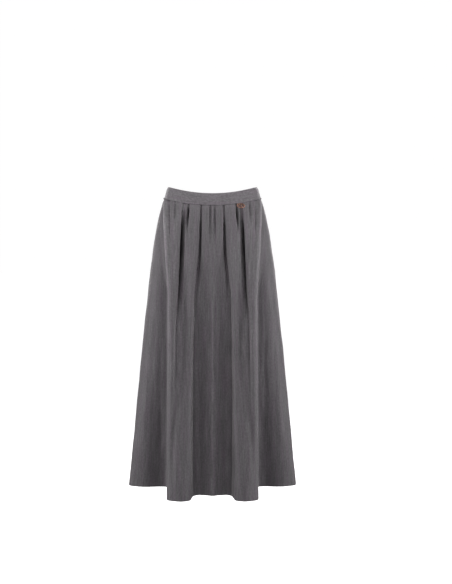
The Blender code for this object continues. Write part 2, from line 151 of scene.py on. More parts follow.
# Name, x_seam, x_hip, x_thigh, x_hem, out_hip, out_thigh, out_hem, from the centre front round to the back.
FRONT_LINES = (
    Line("centre ridge", 0.0000, 0.0000, 0.0000, 0.0000, 0.1135, 0.1225, 0.1530),
    Line("centre hollow", 0.0130, 0.0140, 0.0150, 0.0170, 0.1120, 0.1190, 0.1515),
    Line("inner trough", 0.0250, 0.0280, 0.0330, 0.0370, 0.1095, 0.1135, 0.1535),
    Line("inner wall foot", 0.0335, 0.0370, 0.0495, 0.0515, 0.1065, 0.1100, 0.1675),
    Line("inner edge", 0.0370, 0.0425, 0.0550, 0.0575, 0.1095, 0.1270, 0.2020),
    Line("inner shoulder", 0.0440, 0.0490, 0.0600, 0.0630, 0.1100, 0.1300, 0.2195),
    Line("inner crest", 0.0560, 0.0600, 0.0705, 0.0750, 0.1065, 0.1275, 0.2300),
    Line("crest", 0.0670, 0.0740, 0.0825, 0.0890, 0.1020, 0.1215, 0.2345),
    Line("long tuck", 0.0830, 0.0903, 0.0945, 0.1030, 0.0965, 0.1230, 0.2315),
    Line("outer face", 0.0970, 0.1010, 0.1050, 0.1150, 0.0965, 0.1285, 0.2265),
    Line("outer shoulder", 0.1200, 0.1190, 0.1180, 0.1255, 0.0910, 0.1260, 0.2190),
    Line("outer edge", 0.1420, 0.1370, 0.1275, 0.1305, 0.0855, 0.1190, 0.2060),
    Line("outer wall", 0.1427, 0.1396, 0.1284, 0.1313, 0.0755, 0.1030, 0.1320),
    Line("outer wall foot", 0.1432, 0.1425, 0.1297, 0.1323, 0.0690, 0.0840, 0.0640),
    Line("side hollow foot", 0.1436, 0.1485, 0.1335, 0.1365, 0.0645, 0.0705, 0.0370),
    Line("side hollow", 0.1439, 0.1590, 0.1500, 0.1580, 0.0570, 0.0690, 0.0320),
    Line("side ridge", 0.1442, 0.1690, 0.1710, 0.1920, 0.0390, 0.0610, 0.0370),
    Line("side face", 0.1441, 0.1732, 0.1875, 0.2275, 0.0220, 0.0385, 0.0290),
    Line("side shoulder", 0.1444, 0.1747, 0.1936, 0.2480, 0.0095, 0.0135, 0.0140),
)
SIDE_LINE = Line("side seam", 0.1445, 0.1753, 0.1945, 0.2515, 0.0, 0.0, 0.0)
BACK_LINES = (
    Line("side shoulder", 0.1438, 0.1739, 0.1932, 0.2490, 0.0150, 0.0190, 0.0290),
    Line("side face", 0.1420, 0.1694, 0.1880, 0.2390, 0.0350, 0.0430, 0.0590),
    Line("side ridge", 0.1390, 0.1640, 0.1780, 0.2200, 0.0560, 0.0680, 0.0880),
    Line("side hollow", 0.1350, 0.1560, 0.1640, 0.1870, 0.0730, 0.0870, 0.0990),
    Line("outer wall foot", 0.1305, 0.1490, 0.1530, 0.1650, 0.0840, 0.1010, 0.1150),
    Line("outer wall", 0.1260, 0.1430, 0.1460, 0.1540, 0.0920, 0.1130, 0.1520),
    Line("outer edge", 0.1200, 0.1360, 0.1380, 0.1465, 0.1000, 0.1260, 0.1880),
    Line("outer shoulder", 0.1090, 0.1240, 0.1260, 0.1320, 0.1080, 0.1390, 0.2080),
    Line("crest", 0.0940, 0.1080, 0.1100, 0.1120, 0.1140, 0.1440, 0.2140),
    Line("inner shoulder", 0.0770, 0.0890, 0.0930, 0.0920, 0.1180, 0.1410, 0.1980),
    Line("inner wall", 0.0640, 0.0740, 0.0780, 0.0780, 0.1190, 0.1330, 0.1700),
    Line("inner trough", 0.0500, 0.0580, 0.0610, 0.0610, 0.1200, 0.1310, 0.1520),
    Line("centre face", 0.0280, 0.0320, 0.0340, 0.0330, 0.1240, 0.1370, 0.1540),
    Line("centre back", 0.0000, 0.0000, 0.0000, 0.0000, 0.1250, 0.1385, 0.1600),
)

# x_seam, seam_depth, depth, deepest, end, centre_width, side_width, lean
FRONT_TUCKS = (
    Tuck(0.0058, 0.0026, 0.0085, 0.030, 0.15, 0.0042, 0.0040, 0.0),
    Tuck(0.0335, 0.0040, 0.0200, 0.085, 0.38, 0.0130, 0.0240, 0.1),
    Tuck(0.0700, 0.0034, 0.0190, 0.032, 0.12, 0.0042, 0.0036, 0.2),
    Tuck(0.0830, 0.0026, 0.0400, 0.160, 0.46, 0.0090, 0.0048, 0.55),
    Tuck(0.1110, 0.0034, 0.0095, 0.020, 0.09, 0.0022, 0.0022, 0.0),
    Tuck(0.1265, 0.0030, 0.0110, 0.030, 0.16, 0.0021, 0.0019, 0.0),
)
BACK_TUCKS = (
    Tuck(0.0240, 0.0020, 0.0060, 0.035, 0.20, 0.0056, 0.0046, 0.0),
    Tuck(0.0560, 0.0024, 0.0125, 0.110, 0.58, 0.0085, 0.0048, 0.3),
    Tuck(0.0780, 0.0024, 0.0110, 0.040, 0.17, 0.0052, 0.0044, 0.2),
    Tuck(0.1010, 0.0022, 0.0210, 0.190, 0.62, 0.0085, 0.0048, 0.5),
    Tuck(0.1180, 0.0020, 0.0056, 0.035, 0.14, 0.0046, 0.0042, 0.0),
)

# x_top, x_end, top, peak, end, depth, width, left
FRONT_CREASES = (
    Crease(0.0000, 0.0000, 0.14, 0.45, 1.10, -0.0044, 0.0050, 1.0),
    Crease(0.0000, 0.0000, 0.34, 0.86, 1.90, -0.0075, 0.0190, 1.0),
    Crease(0.0110, 0.0115, 0.10, 0.32, 0.60, 0.0010, 0.0050, 0.8),
    Crease(0.0190, 0.0230, 0.00, 0.05, 0.20, 0.0008, 0.0034, 0.7),
    Crease(0.0400, 0.0450, 0.22, 0.66, 1.50, 0.0085, 0.0170, 1.0),
    Crease(0.0480, 0.0520, 0.00, 0.02, 0.09, 0.0009, 0.0028, 1.0),
    Crease(0.0560, 0.0600, 0.02, 0.09, 0.24, 0.0011, 0.0034, 0.8),
    Crease(0.0640, 0.0660, 0.01, 0.07, 0.21, -0.0010, 0.0030, 1.0),
    Crease(0.0775, 0.0800, 0.00, 0.02, 0.13, 0.0016, 0.0026, 1.0),
    Crease(0.0690, 0.0790, 0.22, 0.38, 0.70, 0.0014, 0.0060, 0.9),
    Crease(0.0930, 0.0990, 0.26, 0.44, 0.70, 0.0095, 0.0150, 0.9),
    Crease(0.1150, 0.1160, 0.34, 0.50, 0.80, -0.0016, 0.0055, 1.0),
    Crease(0.0925, 0.0960, 0.00, 0.02, 0.10, 0.0011, 0.0026, 0.9),
    Crease(0.1010, 0.1040, 0.00, 0.03, 0.12, -0.0008, 0.0028, 0.8),
    Crease(0.1160, 0.1190, 0.00, 0.03, 0.17, 0.0011, 0.0028, 1.0),
    Crease(0.1190, 0.1230, 0.14, 0.30, 0.58, -0.0010, 0.0048, 0.8),
    Crease(0.0920, 0.1275, 0.42, 0.62, 1.10, 0.0070, 0.0120, 1.0),
    Crease(0.1310, 0.1370, 0.00, 0.03, 0.11, 0.0009, 0.0030, 0.7),
    Crease(0.1530, 0.1540, 0.34, 0.60, 1.10, 0.0016, 0.0070, 0.9),
    Crease(0.1780, 0.2020, 0.36, 0.64, 1.10, 0.0012, 0.0100, 1.0),
    Crease(0.1840, 0.2160, 0.34, 0.70, 1.20, -0.0014, 0.0080, 0.8),
)
BACK_CREASES = (
    Crease(0.0100, 0.0140, 0.00, 0.03, 0.14, 0.0011, 0.0034, 0.7),
    Crease(0.0170, 0.0200, 0.05, 0.20, 0.50, -0.0010, 0.0055, 1.0),
    Crease(0.0330, 0.0380, 0.00, 0.03, 0.16, 0.0013, 0.0034, 1.0),
    Crease(0.0430, 0.0470, 0.00, 0.02, 0.09, 0.0010, 0.0028, 0.8),
    Crease(0.0470, 0.0500, 0.25, 0.52, 0.90, 0.0016, 0.0080, 0.8),
    Crease(0.0660, 0.0700, 0.00, 0.03, 0.12, 0.0012, 0.0028, 1.0),
    Crease(0.0880, 0.0920, 0.00, 0.04, 0.20, 0.0013, 0.0032, 0.8),
    Crease(0.0980, 0.1010, 0.30, 0.55, 0.94, -0.0014, 0.0070, 1.0),
    Crease(0.1100, 0.1160, 0.00, 0.02, 0.10, 0.0010, 0.0028, 1.0),
    Crease(0.1260, 0.1320, 0.00, 0.03, 0.12, 0.0010, 0.0030, 0.7),
    Crease(0.1290, 0.1340, 0.25, 0.50, 0.88, 0.0014, 0.0060, 0.9),
    Crease(0.1700, 0.1960, 0.34, 0.62, 0.98, 0.0020, 0.0100, 0.8),
    Crease(0.0060, 0.0070, 0.24, 0.60, 1.10, 0.0012, 0.0060, 1.0),
)

# Each edge also gets a painted highlight in the cloth's colour, stronger the prouder it stands.
# line, half, top, peak, end, proud, width
FOLD_EDGES = (
    FoldEdge("centre ridge", Half.FRONT, 0.22, 0.60, 2.40, 0.0012, 0.0200),
    FoldEdge("inner shoulder", Half.FRONT, 0.22, 0.70, 2.20, 0.0004, 0.0050),
    FoldEdge("outer edge", Half.FRONT, -0.02, 0.01, 0.95, 0.0024, 0.0080),
    FoldEdge("outer edge", Half.BACK, 0.20, 0.60, 1.60, 0.0012, 0.0060),
    FoldEdge("inner shoulder", Half.BACK, 0.30, 0.70, 1.60, 0.0008, 0.0060),
)

# The widths of the cloth's small waves, each with the length over which it sways, and those of its puckers.
RIPPLES = ((0.021, 0.31), (0.034, 0.22), (0.055, 0.41), (0.089, 0.27), (0.013, 0.19))
PUCKERS = (0.0067, 0.0093, 0.0131)


# ---- Shared helpers ----


def linear(hex_colour: str) -> tuple[float, float, float, float]:
    """Turns an sRGB hex colour to linear RGBA.

    Args:
        hex_colour: six hex digits, such as "77727a".

    Returns:
        Linear red, green and blue, and an alpha of 1.
    """
    shares = [int(hex_colour[i : i + 2], 16) / 255.0 for i in (0, 2, 4)]
    red, green, blue = (s / 12.92 if s <= 0.04045 else ((s + 0.055) / 1.055) ** 2.4 for s in shares)
    return red, green, blue, 1.0


def feed(node: bpy.types.Node, inputs: dict[Any, Any]) -> None:
    """Links or sets inputs of a shader node.

    Args:
        node: the node.
        inputs: for each input's name or number, the output that feeds it or its constant value.
    """
    for name, value in inputs.items():
        if isinstance(value, bpy.types.NodeSocket):
            node.id_data.links.new(value, node.inputs[name])
        else:
            node.inputs[name].default_value = value


def add_node(
    tree: bpy.types.NodeTree, kind: str, inputs: Optional[dict[Any, Any]] = None, **settings: Any
) -> bpy.types.Node:
    """Adds a shader node with its settings and its inputs.

    Args:
        tree: the node tree that it goes in.
        kind: the node's type name.
        inputs: what feeds its inputs, as for feed.
        settings: attributes of the node.

    Returns:
        The new node.
    """
    node = tree.nodes.new(kind)
    for name, value in settings.items():
        setattr(node, name, value)
    feed(node, inputs or {})
    return node


def new_material(name: str) -> tuple[bpy.types.Material, bpy.types.Node]:
    """Makes a material.

    Args:
        name: the material's name.

    Returns:
        The material and its one shader.
    """
    made = bpy.data.materials.new(name)
    made.use_nodes = True
    return made, made.node_tree.nodes["Principled BSDF"]


def smooth_step(share: Any) -> Any:
    """The soft S from 0 to 1, for a number or an array."""
    share = np.clip(share, 0.0, 1.0)
    return share * share * (3.0 - 2.0 * share)


def track(at: Any, stations: Sequence[float], values: np.ndarray) -> np.ndarray:
    """Reads the smooth curve through values at stations, which never passes beyond them.

    Args:
        at: where it is read.
        stations: rising places of the values.
        values: the value at each station, along the first axis.

    Returns:
        The curve at each place.
    """
    at = np.atleast_1d(np.asarray(at, float))
    stations = np.asarray(stations, float)
    values = np.asarray(values, float)
    gaps = np.diff(stations)
    tall = gaps.reshape((-1,) + (1,) * (values.ndim - 1))
    steps = np.diff(values, axis=0) / tall
    before = 2.0 * tall[1:] + tall[:-1]
    after = tall[1:] + 2.0 * tall[:-1]
    same_way = steps[:-1] * steps[1:] > 0.0
    safe_low = np.where(same_way, steps[:-1], 1.0)
    safe_high = np.where(same_way, steps[1:], 1.0)
    inner = np.where(same_way, (before + after) / (before / safe_low + after / safe_high), 0.0)
    slopes = np.concatenate([steps[:1], inner, steps[-1:]])
    span = np.clip(np.searchsorted(stations, at, side="right") - 1, 0, len(gaps) - 1)
    shape = (-1,) + (1,) * (values.ndim - 1)
    gap = gaps[span].reshape(shape)
    u = ((at - stations[span]) / gaps[span]).reshape(shape)
    rise = values[span + 1] - values[span]
    return (
        values[span]
        + rise * u * u * (3.0 - 2.0 * u)
        + gap * slopes[span] * u * (1.0 - u) ** 2
        - gap * slopes[span + 1] * u * u * (1.0 - u)
    )


def lengths_along(points: np.ndarray) -> np.ndarray:
    """Measures the way along rows of points.

    Args:
        points: one point a row, or rows of columns of points.

    Returns:
        For each point, the metres to it from the first one of its row.
    """
    steps = np.linalg.norm(np.diff(points, axis=-2), axis=-1)
    return np.concatenate([np.zeros(steps.shape[:-1] + (1,)), np.cumsum(steps, axis=-1)], axis=-1)


def new_mesh_object(name: str, verts: np.ndarray, faces: Sequence[Sequence[int]]) -> bpy.types.Object:
    """Makes an object of points and faces and links it to the scene.

    Args:
        name: the object's name.
        verts: points, one a row.
        faces: the point numbers of each face.

    Returns:
        The new object, at the origin.
    """
    mesh = bpy.data.meshes.new(name)
    mesh.from_pydata(verts.tolist(), [], faces)
    mesh.update()
    obj = bpy.data.objects.new(name, mesh)
    bpy.context.scene.collection.objects.link(obj)
    return obj


def sheet_grid(
    name: str, points: np.ndarray, flat: np.ndarray, painted_light: Optional[np.ndarray] = None
) -> bpy.types.Object:
    """Makes a cloth sheet from rows of points, with a UV map in metres of cloth.

    Args:
        name: the object's name.
        points: rows by columns by 3.
        flat: rows by columns by 2, the place of each point on the flat cloth.
        painted_light: the painted highlight at each point, and painted shade below 0, rows by columns.

    Returns:
        The open sheet, whose faces point outwards where rows run down and columns to the right of a front.
    """
    rows, columns = points.shape[:2]
    number = np.arange(rows * columns).reshape(rows, columns)
    corners = [number[:-1, :-1], number[1:, :-1], number[1:, 1:], number[:-1, 1:]]
    faces = np.stack([corner.ravel() for corner in corners], axis=1)
    obj = new_mesh_object(name, points.reshape(-1, 3), faces.tolist())
    layer = obj.data.uv_layers.new(name="cloth")
    loops = np.empty(len(obj.data.loops), np.int32)
    obj.data.loops.foreach_get("vertex_index", loops)
    layer.data.foreach_set("uv", flat.reshape(-1, 2)[loops].astype(np.float32).ravel())
    # Painted highlight and painted shade, kept on the points for the cloth's colour.
    worn = obj.data.attributes.new("painted_light", "FLOAT", "POINT")
    if painted_light is not None:
        worn.data.foreach_set("value", painted_light.astype(np.float32).ravel())
    obj.data.shade_smooth()
    return obj


def select_only(obj: bpy.types.Object) -> None:
    """Deselects everything, then selects this object and makes it active.

    Args:
        obj: the object that operators are to act on.
    """
    bpy.ops.object.select_all(action="DESELECT")
    obj.select_set(True)
    bpy.context.view_layer.objects.active = obj


def add_primitive(kind: Callable[..., set[str]], **settings: Any) -> bpy.types.Object:
    """Adds a primitive with nothing else selected.

    Args:
        kind: the operator that adds it.
        settings: its sizes and its place.

    Returns:
        The new object.
    """
    bpy.ops.object.select_all(action="DESELECT")
    kind(**settings)
    return bpy.context.active_object


def edit_whole(obj: bpy.types.Object, operator: Callable[..., set[str]], **settings: Any) -> None:
    """Runs one edit-mode operator on all of an object's mesh.

    Args:
        obj: the object whose mesh it changes.
        operator: the operator.
        settings: its options.
    """
    select_only(obj)
    bpy.ops.object.mode_set(mode="EDIT")
    bpy.ops.mesh.select_all(action="SELECT")
    operator(**settings)
    bpy.ops.object.mode_set(mode="OBJECT")


def repeated(name: str, faces: Sequence[Sequence[int]], copies: Sequence[np.ndarray]) -> bpy.types.Object:
    """Makes one object of many copies of a small closed mesh.

    Args:
        name: the object's name.
        faces: the faces of one copy.
        copies: the points of each copy.

    Returns:
        The object, smooth and with its faces outwards.
    """
    starts = [number * len(copies[0]) for number in range(len(copies))]
    all_faces = [[start + corner for corner in face] for start in starts for face in faces]
    made = new_mesh_object(name, np.concatenate(copies), all_faces)
    edit_whole(made, bpy.ops.mesh.normals_make_consistent, inside=False)
    made.data.shade_smooth()
    return made


def take_mesh(obj: bpy.types.Object) -> tuple[np.ndarray, list[list[int]]]:
    """Reads an object's points and faces, and removes it.

    Args:
        obj: the object, whose mesh is at its place.

    Returns:
        Its points, one a row, and the point numbers of each face.
    """
    points = np.array([vert.co for vert in obj.data.vertices])
    faces = [list(face.vertices) for face in obj.data.polygons]
    bpy.data.objects.remove(obj, do_unlink=True)
    return points, faces


def smooth_but_sharp(obj: bpy.types.Object, degrees: float) -> None:
    """Shades an object smooth, with the edges sharper than an angle left crisp."""
    obj.data.shade_smooth()
    obj.data.set_sharp_from_angle(angle=math.radians(degrees))


def apply_modifier(obj: bpy.types.Object, kind: str, **settings: Any) -> None:
    """Adds one modifier with its settings and applies it.

    Args:
        obj: the object that it changes.
        kind: the modifier's type.
        settings: attributes of the modifier.
    """
    select_only(obj)
    modifier = obj.modifiers.new(kind.lower(), kind)
    for name, value in settings.items():
        setattr(modifier, name, value)
    bpy.ops.object.modifier_apply(modifier=modifier.name)


def settle(obj: bpy.types.Object) -> None:
    """Puts the object's turn, scale and place into its mesh, so that it sits at the origin."""
    select_only(obj)
    bpy.ops.object.transform_apply(location=True, rotation=True, scale=True)


def join(name: str, parts: Sequence[bpy.types.Object]) -> bpy.types.Object:
    """Joins settled objects to one.

    Args:
        name: the joined object's name.
        parts: the objects, the first of which is kept.

    Returns:
        The joined object.
    """
    select_only(parts[0])
    for part in parts:
        part.select_set(True)
    bpy.ops.object.join()
    parts[0].name = name
    parts[0].data.name = name
    return parts[0]


def give_material(obj: bpy.types.Object, material: bpy.types.Material) -> None:
    """Makes this the only material of the object."""
    obj.data.materials.clear()
    obj.data.materials.append(material)


# ---- Finishes ----


@dataclass(frozen=True)
class MelangeSuiting:
    """A dyed and marled twill suiting, woven from yarns of several greys and lightly pressed.

    The eye sees short uneven streaks of lighter, darker and faintly mauve yarn that run down the warp, a
    matt face and a soft sheen where a fold turns away.
    """

    name: str
    grain: Grain = Grain.DOWN
    dark: str = "646164"
    middle: str = "716e71"
    light: str = "7f7c7f"
    mauve: str = "766b75"
    sheen_tint: str = "d8d4d6"
    # By what share the whole cloth is lighter, and how strongly the painted highlight and painted shade
    # show.
    lighten: float = 0.0
    painted_light_strength: float = 0.85
    # A yarn is 0.5 mm thick. That is too fine to show, so a streak is a group of three to five yarns.
    streak_width: float = 1.8 * MILLIMETRE
    streak_length: float = 60.0 * MILLIMETRE
    band_width: float = 7.0 * MILLIMETRE
    band_length: float = 120.0 * MILLIMETRE
    # Broad bands of the warp are mauve, up to this share.
    mauve_share: float = 0.55
    # A twill line is 0.9 mm from the next, and drawn at that.
    twill_pitch: float = 0.9 * MILLIMETRE
    twill_angle: float = math.radians(63)
    # Flecks of nap and uneven pressing, and by what share each makes the cloth lighter or darker.
    nap: float = 4.6 * MILLIMETRE
    mottle: float = 0.16
    cloud: float = 46.0 * MILLIMETRE
    pressing: float = 0.035
    # How high the yarns stand, how strongly that shows, and the share of the twill's lines in it.
    relief: float = 0.5 * MILLIMETRE
    relief_strength: float = 0.35
    twill_relief: float = 0.35
    roughness: float = 0.58
    roughness_swing: float = 0.06
    specular: float = 0.45
    sheen: float = 0.90
    sheen_roughness: float = 0.30

    def patterns(
        self, tree: bpy.types.NodeTree, cloth: bpy.types.NodeSocket
    ) -> dict[str, bpy.types.NodeSocket]:
        """Adds the uneven patterns of the cloth, each stretched along the warp.

        Args:
            tree: the material's node tree.
            cloth: the place on the flat cloth, in metres.

        Returns:
            The output of each pattern, by its name.
        """
        # For each: its steps across and along the warp, its detail and its roughness.
        kinds = {
            "streak": (self.streak_width, self.streak_length, 3.0, 0.62),
            "band": (self.band_width, self.band_length, 2.0, 0.5),
            "cloud": (self.cloud, self.cloud * 1.7, 2.0, 0.5),
            "nap": (self.nap, self.nap * 1.6, 4.0, 0.7),
        }
        outputs = {}
        for kind, (across, along, detail, roughness) in kinds.items():
            if self.grain is Grain.ALONG:
                across, along = along, across
            scale = (1.0 / across, 1.0 / along, 1.0)
            place = add_node(tree, "ShaderNodeMapping", {"Vector": cloth, "Scale": scale}).outputs[0]
            inputs = {"Vector": place, "Scale": 1.0, "Detail": detail, "Roughness": roughness}
            noise = add_node(tree, "ShaderNodeTexNoise", inputs, noise_dimensions="2D")
            outputs[kind] = noise.outputs[0]
        return outputs

    def colour(
        self, tree: bpy.types.NodeTree, pattern: dict[str, bpy.types.NodeSocket]
    ) -> bpy.types.NodeSocket:
        """Mixes the yarns' colours, then lightens and darkens them from place to place.

        Args:
            tree: the material's node tree.
            pattern: the output of each pattern, by its name.

        Returns:
            The colour's output.
        """
        yarns = add_node(tree, "ShaderNodeValToRGB", {"Fac": pattern["streak"]})
        ramp = yarns.color_ramp
        ramp.elements[0].position, ramp.elements[0].color = 0.29, linear(self.dark)
        ramp.elements[1].position, ramp.elements[1].color = 0.71, linear(self.light)
        ramp.elements.new(0.5).color = linear(self.middle)
        mauve_share = add_node(
            tree,
            "ShaderNodeMapRange",
            {"Value": pattern["band"], "From Min": 0.42, "From Max": 0.68, "To Max": self.mauve_share},
        )
        tinted = add_node(
            tree,
            "ShaderNodeMix",
            {"Factor": mauve_share.outputs[0], 6: yarns.outputs[0], 7: linear(self.mauve)},
            data_type="RGBA",
        )
        # Painted light kept on the points: painted highlight on fold edges, painted shade deep in tucks.
        painted_light = add_node(tree, "ShaderNodeAttribute", attribute_name="painted_light").outputs["Fac"]
        # For each: what it is read from, the range of that, and how far it lightens or darkens the cloth.
        shades = (
            (pattern["cloud"], 0.3, 0.7, self.pressing),
            (pattern["nap"], 0.3, 0.7, self.mottle),
            # Painted highlight on fold edges, and painted shade in tucks below 0.
            (painted_light, -1.0, 1.0, self.painted_light_strength),
        )
        whole: Any = 1.0 + self.lighten
        for source, low, high, swing in shades:
            inputs = {"Value": source, "From Min": low, "From Max": high}
            inputs.update({"To Min": 1.0 - swing, "To Max": 1.0 + swing})
            shade = add_node(tree, "ShaderNodeMapRange", inputs).outputs[0]
            whole = add_node(tree, "ShaderNodeMath", {0: whole, 1: shade}, operation="MULTIPLY").outputs[0]
        inputs = {0: tinted.outputs[2], "Scale": whole}
        return add_node(tree, "ShaderNodeVectorMath", inputs, operation="SCALE").outputs[0]

    def material(self) -> bpy.types.Material:
        """Makes the material from the piece's own UV map, which is in metres of cloth.

        Returns:
            The new material.
        """
        made, shader = new_material(self.name)
        tree = made.node_tree
        cloth = add_node(tree, "ShaderNodeUVMap", uv_map="cloth").outputs[0]
        pattern = self.patterns(tree, cloth)
        colour = self.colour(tree, pattern)

        turn = (0.0, 0.0, self.twill_angle)
        diagonal = add_node(tree, "ShaderNodeMapping", {"Vector": cloth, "Rotation": turn}).outputs[0]
        scale = WAVE_STEP / self.twill_pitch
        twill = add_node(
            tree,
            "ShaderNodeTexWave",
            {"Vector": diagonal, "Scale": scale, "Distortion": 1.5, "Detail": 2.0},
            wave_profile="SIN",
        ).outputs[1]
        inputs = {0: twill, 1: self.twill_relief, 2: pattern["nap"]}
        weave = add_node(tree, "ShaderNodeMath", inputs, operation="MULTIPLY_ADD").outputs[0]
        inputs = {0: pattern["streak"], 1: weave}
        height = add_node(tree, "ShaderNodeMath", inputs, operation="ADD").outputs[0]
        inputs = {"Height": height, "Strength": self.relief_strength, "Distance": self.relief}
        bump = add_node(tree, "ShaderNodeBump", inputs).outputs[0]
        low, high = self.roughness - self.roughness_swing, self.roughness + self.roughness_swing
        inputs = {"Value": pattern["nap"], "To Min": low, "To Max": high}
        rough = add_node(tree, "ShaderNodeMapRange", inputs).outputs[0]
        feed(shader, {"Base Color": colour, "Normal": bump, "Roughness": rough})
        feed(shader, {"Specular IOR Level": self.specular, "Sheen Weight": self.sheen})
        feed(shader, {"Sheen Roughness": self.sheen_roughness, "Sheen Tint": linear(self.sheen_tint)})
        return made


@dataclass(frozen=True)
class PlatedMetal:
    """A cast and polished metal under a thin bright plate, worn to another tone along its raised edges.

    The eye sees sharp small highlights, broken up by fine handling marks.
    """

    name: str
    plate: str
    worn: str
    roughness: float
    # How much smoother and rougher it is in places.
    smoother: float = 0.07
    rougher: float = 0.12
    # Handling marks are 0.3 mm apart, and the plate's uneven tone changes over 3 mm.
    mark: float = 0.3 * MILLIMETRE
    tone: float = 3.0 * MILLIMETRE

    def material(self) -> bpy.types.Material:
        """Makes the material on Object coordinates.

        Returns:
            The new material.
        """
        made, shader = new_material(self.name)
        tree = made.node_tree
        place = add_node(tree, "ShaderNodeTexCoord").outputs["Object"]
        inputs = {"Vector": place, "Scale": 1.0 / self.mark, "Detail": 3.0}
        marks = add_node(tree, "ShaderNodeTexNoise", inputs).outputs[0]
        inputs = {"Vector": place, "Scale": 1.0 / self.tone, "Detail": 2.0}
        tone = add_node(tree, "ShaderNodeTexNoise", inputs).outputs[0]
        edge = add_node(tree, "ShaderNodeNewGeometry").outputs["Pointiness"]
        inputs = {"Value": edge, "From Min": 0.5, "From Max": 0.62, "To Max": 0.5}
        raised = add_node(tree, "ShaderNodeMapRange", inputs).outputs[0]
        wear = add_node(tree, "ShaderNodeMath", {0: raised, 1: tone}, operation="MULTIPLY").outputs[0]
        inputs = {"Factor": wear, 6: linear(self.plate), 7: linear(self.worn)}
        colour = add_node(tree, "ShaderNodeMix", inputs, data_type="RGBA").outputs[2]
        low, high = self.roughness - self.smoother, self.roughness + self.rougher
        inputs = {"Value": marks, "To Min": low, "To Max": high}
        rough = add_node(tree, "ShaderNodeMapRange", inputs).outputs[0]
        inputs = {"Height": marks, "Strength": 0.08, "Distance": 0.1 * MILLIMETRE}
        bump = add_node(tree, "ShaderNodeBump", inputs).outputs[0]
        feed(shader, {"Base Color": colour, "Roughness": rough, "Normal": bump, "Metallic": 1.0})
        return made


@dataclass(frozen=True)
class SpunPolyester:
    """Spun polyester, twisted as sewing thread or woven as zip tape.

    The eye sees fine slanted plies with a slight gloss.
    """

    name: str
    colour: str
    shade: str
    # A thread's plies are 0.35 mm apart.
    ply: float = 0.35 * MILLIMETRE
    roughness: float = 0.6

    def material(self) -> bpy.types.Material:
        """Makes the material on Object coordinates.

        Returns:
            The new material.
        """
        made, shader = new_material(self.name)
        tree = made.node_tree
        place = add_node(tree, "ShaderNodeTexCoord").outputs["Object"]
        inputs = {"Vector": place, "Rotation": (0.4, 0.6, 0.5)}
        slanted = add_node(tree, "ShaderNodeMapping", inputs).outputs[0]
        inputs = {"Vector": slanted, "Scale": WAVE_STEP / self.ply, "Distortion": 0.8, "Detail": 1.0}
        plies = add_node(tree, "ShaderNodeTexWave", inputs).outputs[1]
        inputs = {"Factor": plies, 6: linear(self.shade), 7: linear(self.colour)}
        colour = add_node(tree, "ShaderNodeMix", inputs, data_type="RGBA").outputs[2]
        inputs = {"Height": plies, "Strength": 0.4, "Distance": 0.15 * MILLIMETRE}
        bump = add_node(tree, "ShaderNodeBump", inputs).outputs[0]
        feed(shader, {"Base Color": colour, "Normal": bump, "Roughness": self.roughness})
        return made


# ---- The worn form ----


@dataclass
class WaistbandForm:
    """The outline that the waistband has when it is worn."""

    half_width: float = 0.1345
    half_depth: float = 0.0900
    height: float = 0.0363
    flare_side: float = 0.0100
    flare_front: float = 0.0070
    front_dip: float = 0.0216
    back_dip: float = 0.0160

    def outline(self, angle: np.ndarray, drop: np.ndarray) -> np.ndarray:
        """Points of the outer face.

        Args:
            angle: from the centre front, 0, to the back, pi, positive towards +X.
            drop: 0 at the top edge and 1 at the seam.

        Returns:
            One point for each angle and drop.
        """
        x = (self.half_width + self.flare_side * drop) * np.sin(angle)
        out = (self.half_depth + self.flare_front * drop) * np.cos(angle)
        dip = np.where(np.cos(angle) > 0.0, self.front_dip, self.back_dip)
        z = -dip * np.cos(angle) ** 2 - self.height * drop
        return np.stack([x, -out, z], axis=-1)

    def outwards(self, angle: np.ndarray, drop: np.ndarray) -> np.ndarray:
        """Level normals of the outer face.

        Args:
            angle: from the centre front, 0, to the back, pi, positive towards +X.
            drop: 0 at the top edge and 1 at the seam.

        Returns:
            One unit vector for each angle and drop.
        """
        x = np.sin(angle) / (self.half_width + self.flare_side * drop)
        y = -np.cos(angle) / (self.half_depth + self.flare_front * drop)
        normal = np.stack([x, y, np.zeros_like(x)], axis=-1)
        return normal / np.linalg.norm(normal, axis=-1, keepdims=True)


def line_number(edge: FoldEdge) -> int:
    """Finds the line that a fold's edge follows.

    Args:
        edge: the fold's edge.

    Returns:
        The line's number, counted from the centre front round to the centre back.
    """
    if edge.half is Half.FRONT:
        return [line.name for line in FRONT_LINES].index(edge.line)
    return len(FRONT_LINES) + 1 + [line.name for line in BACK_LINES].index(edge.line)


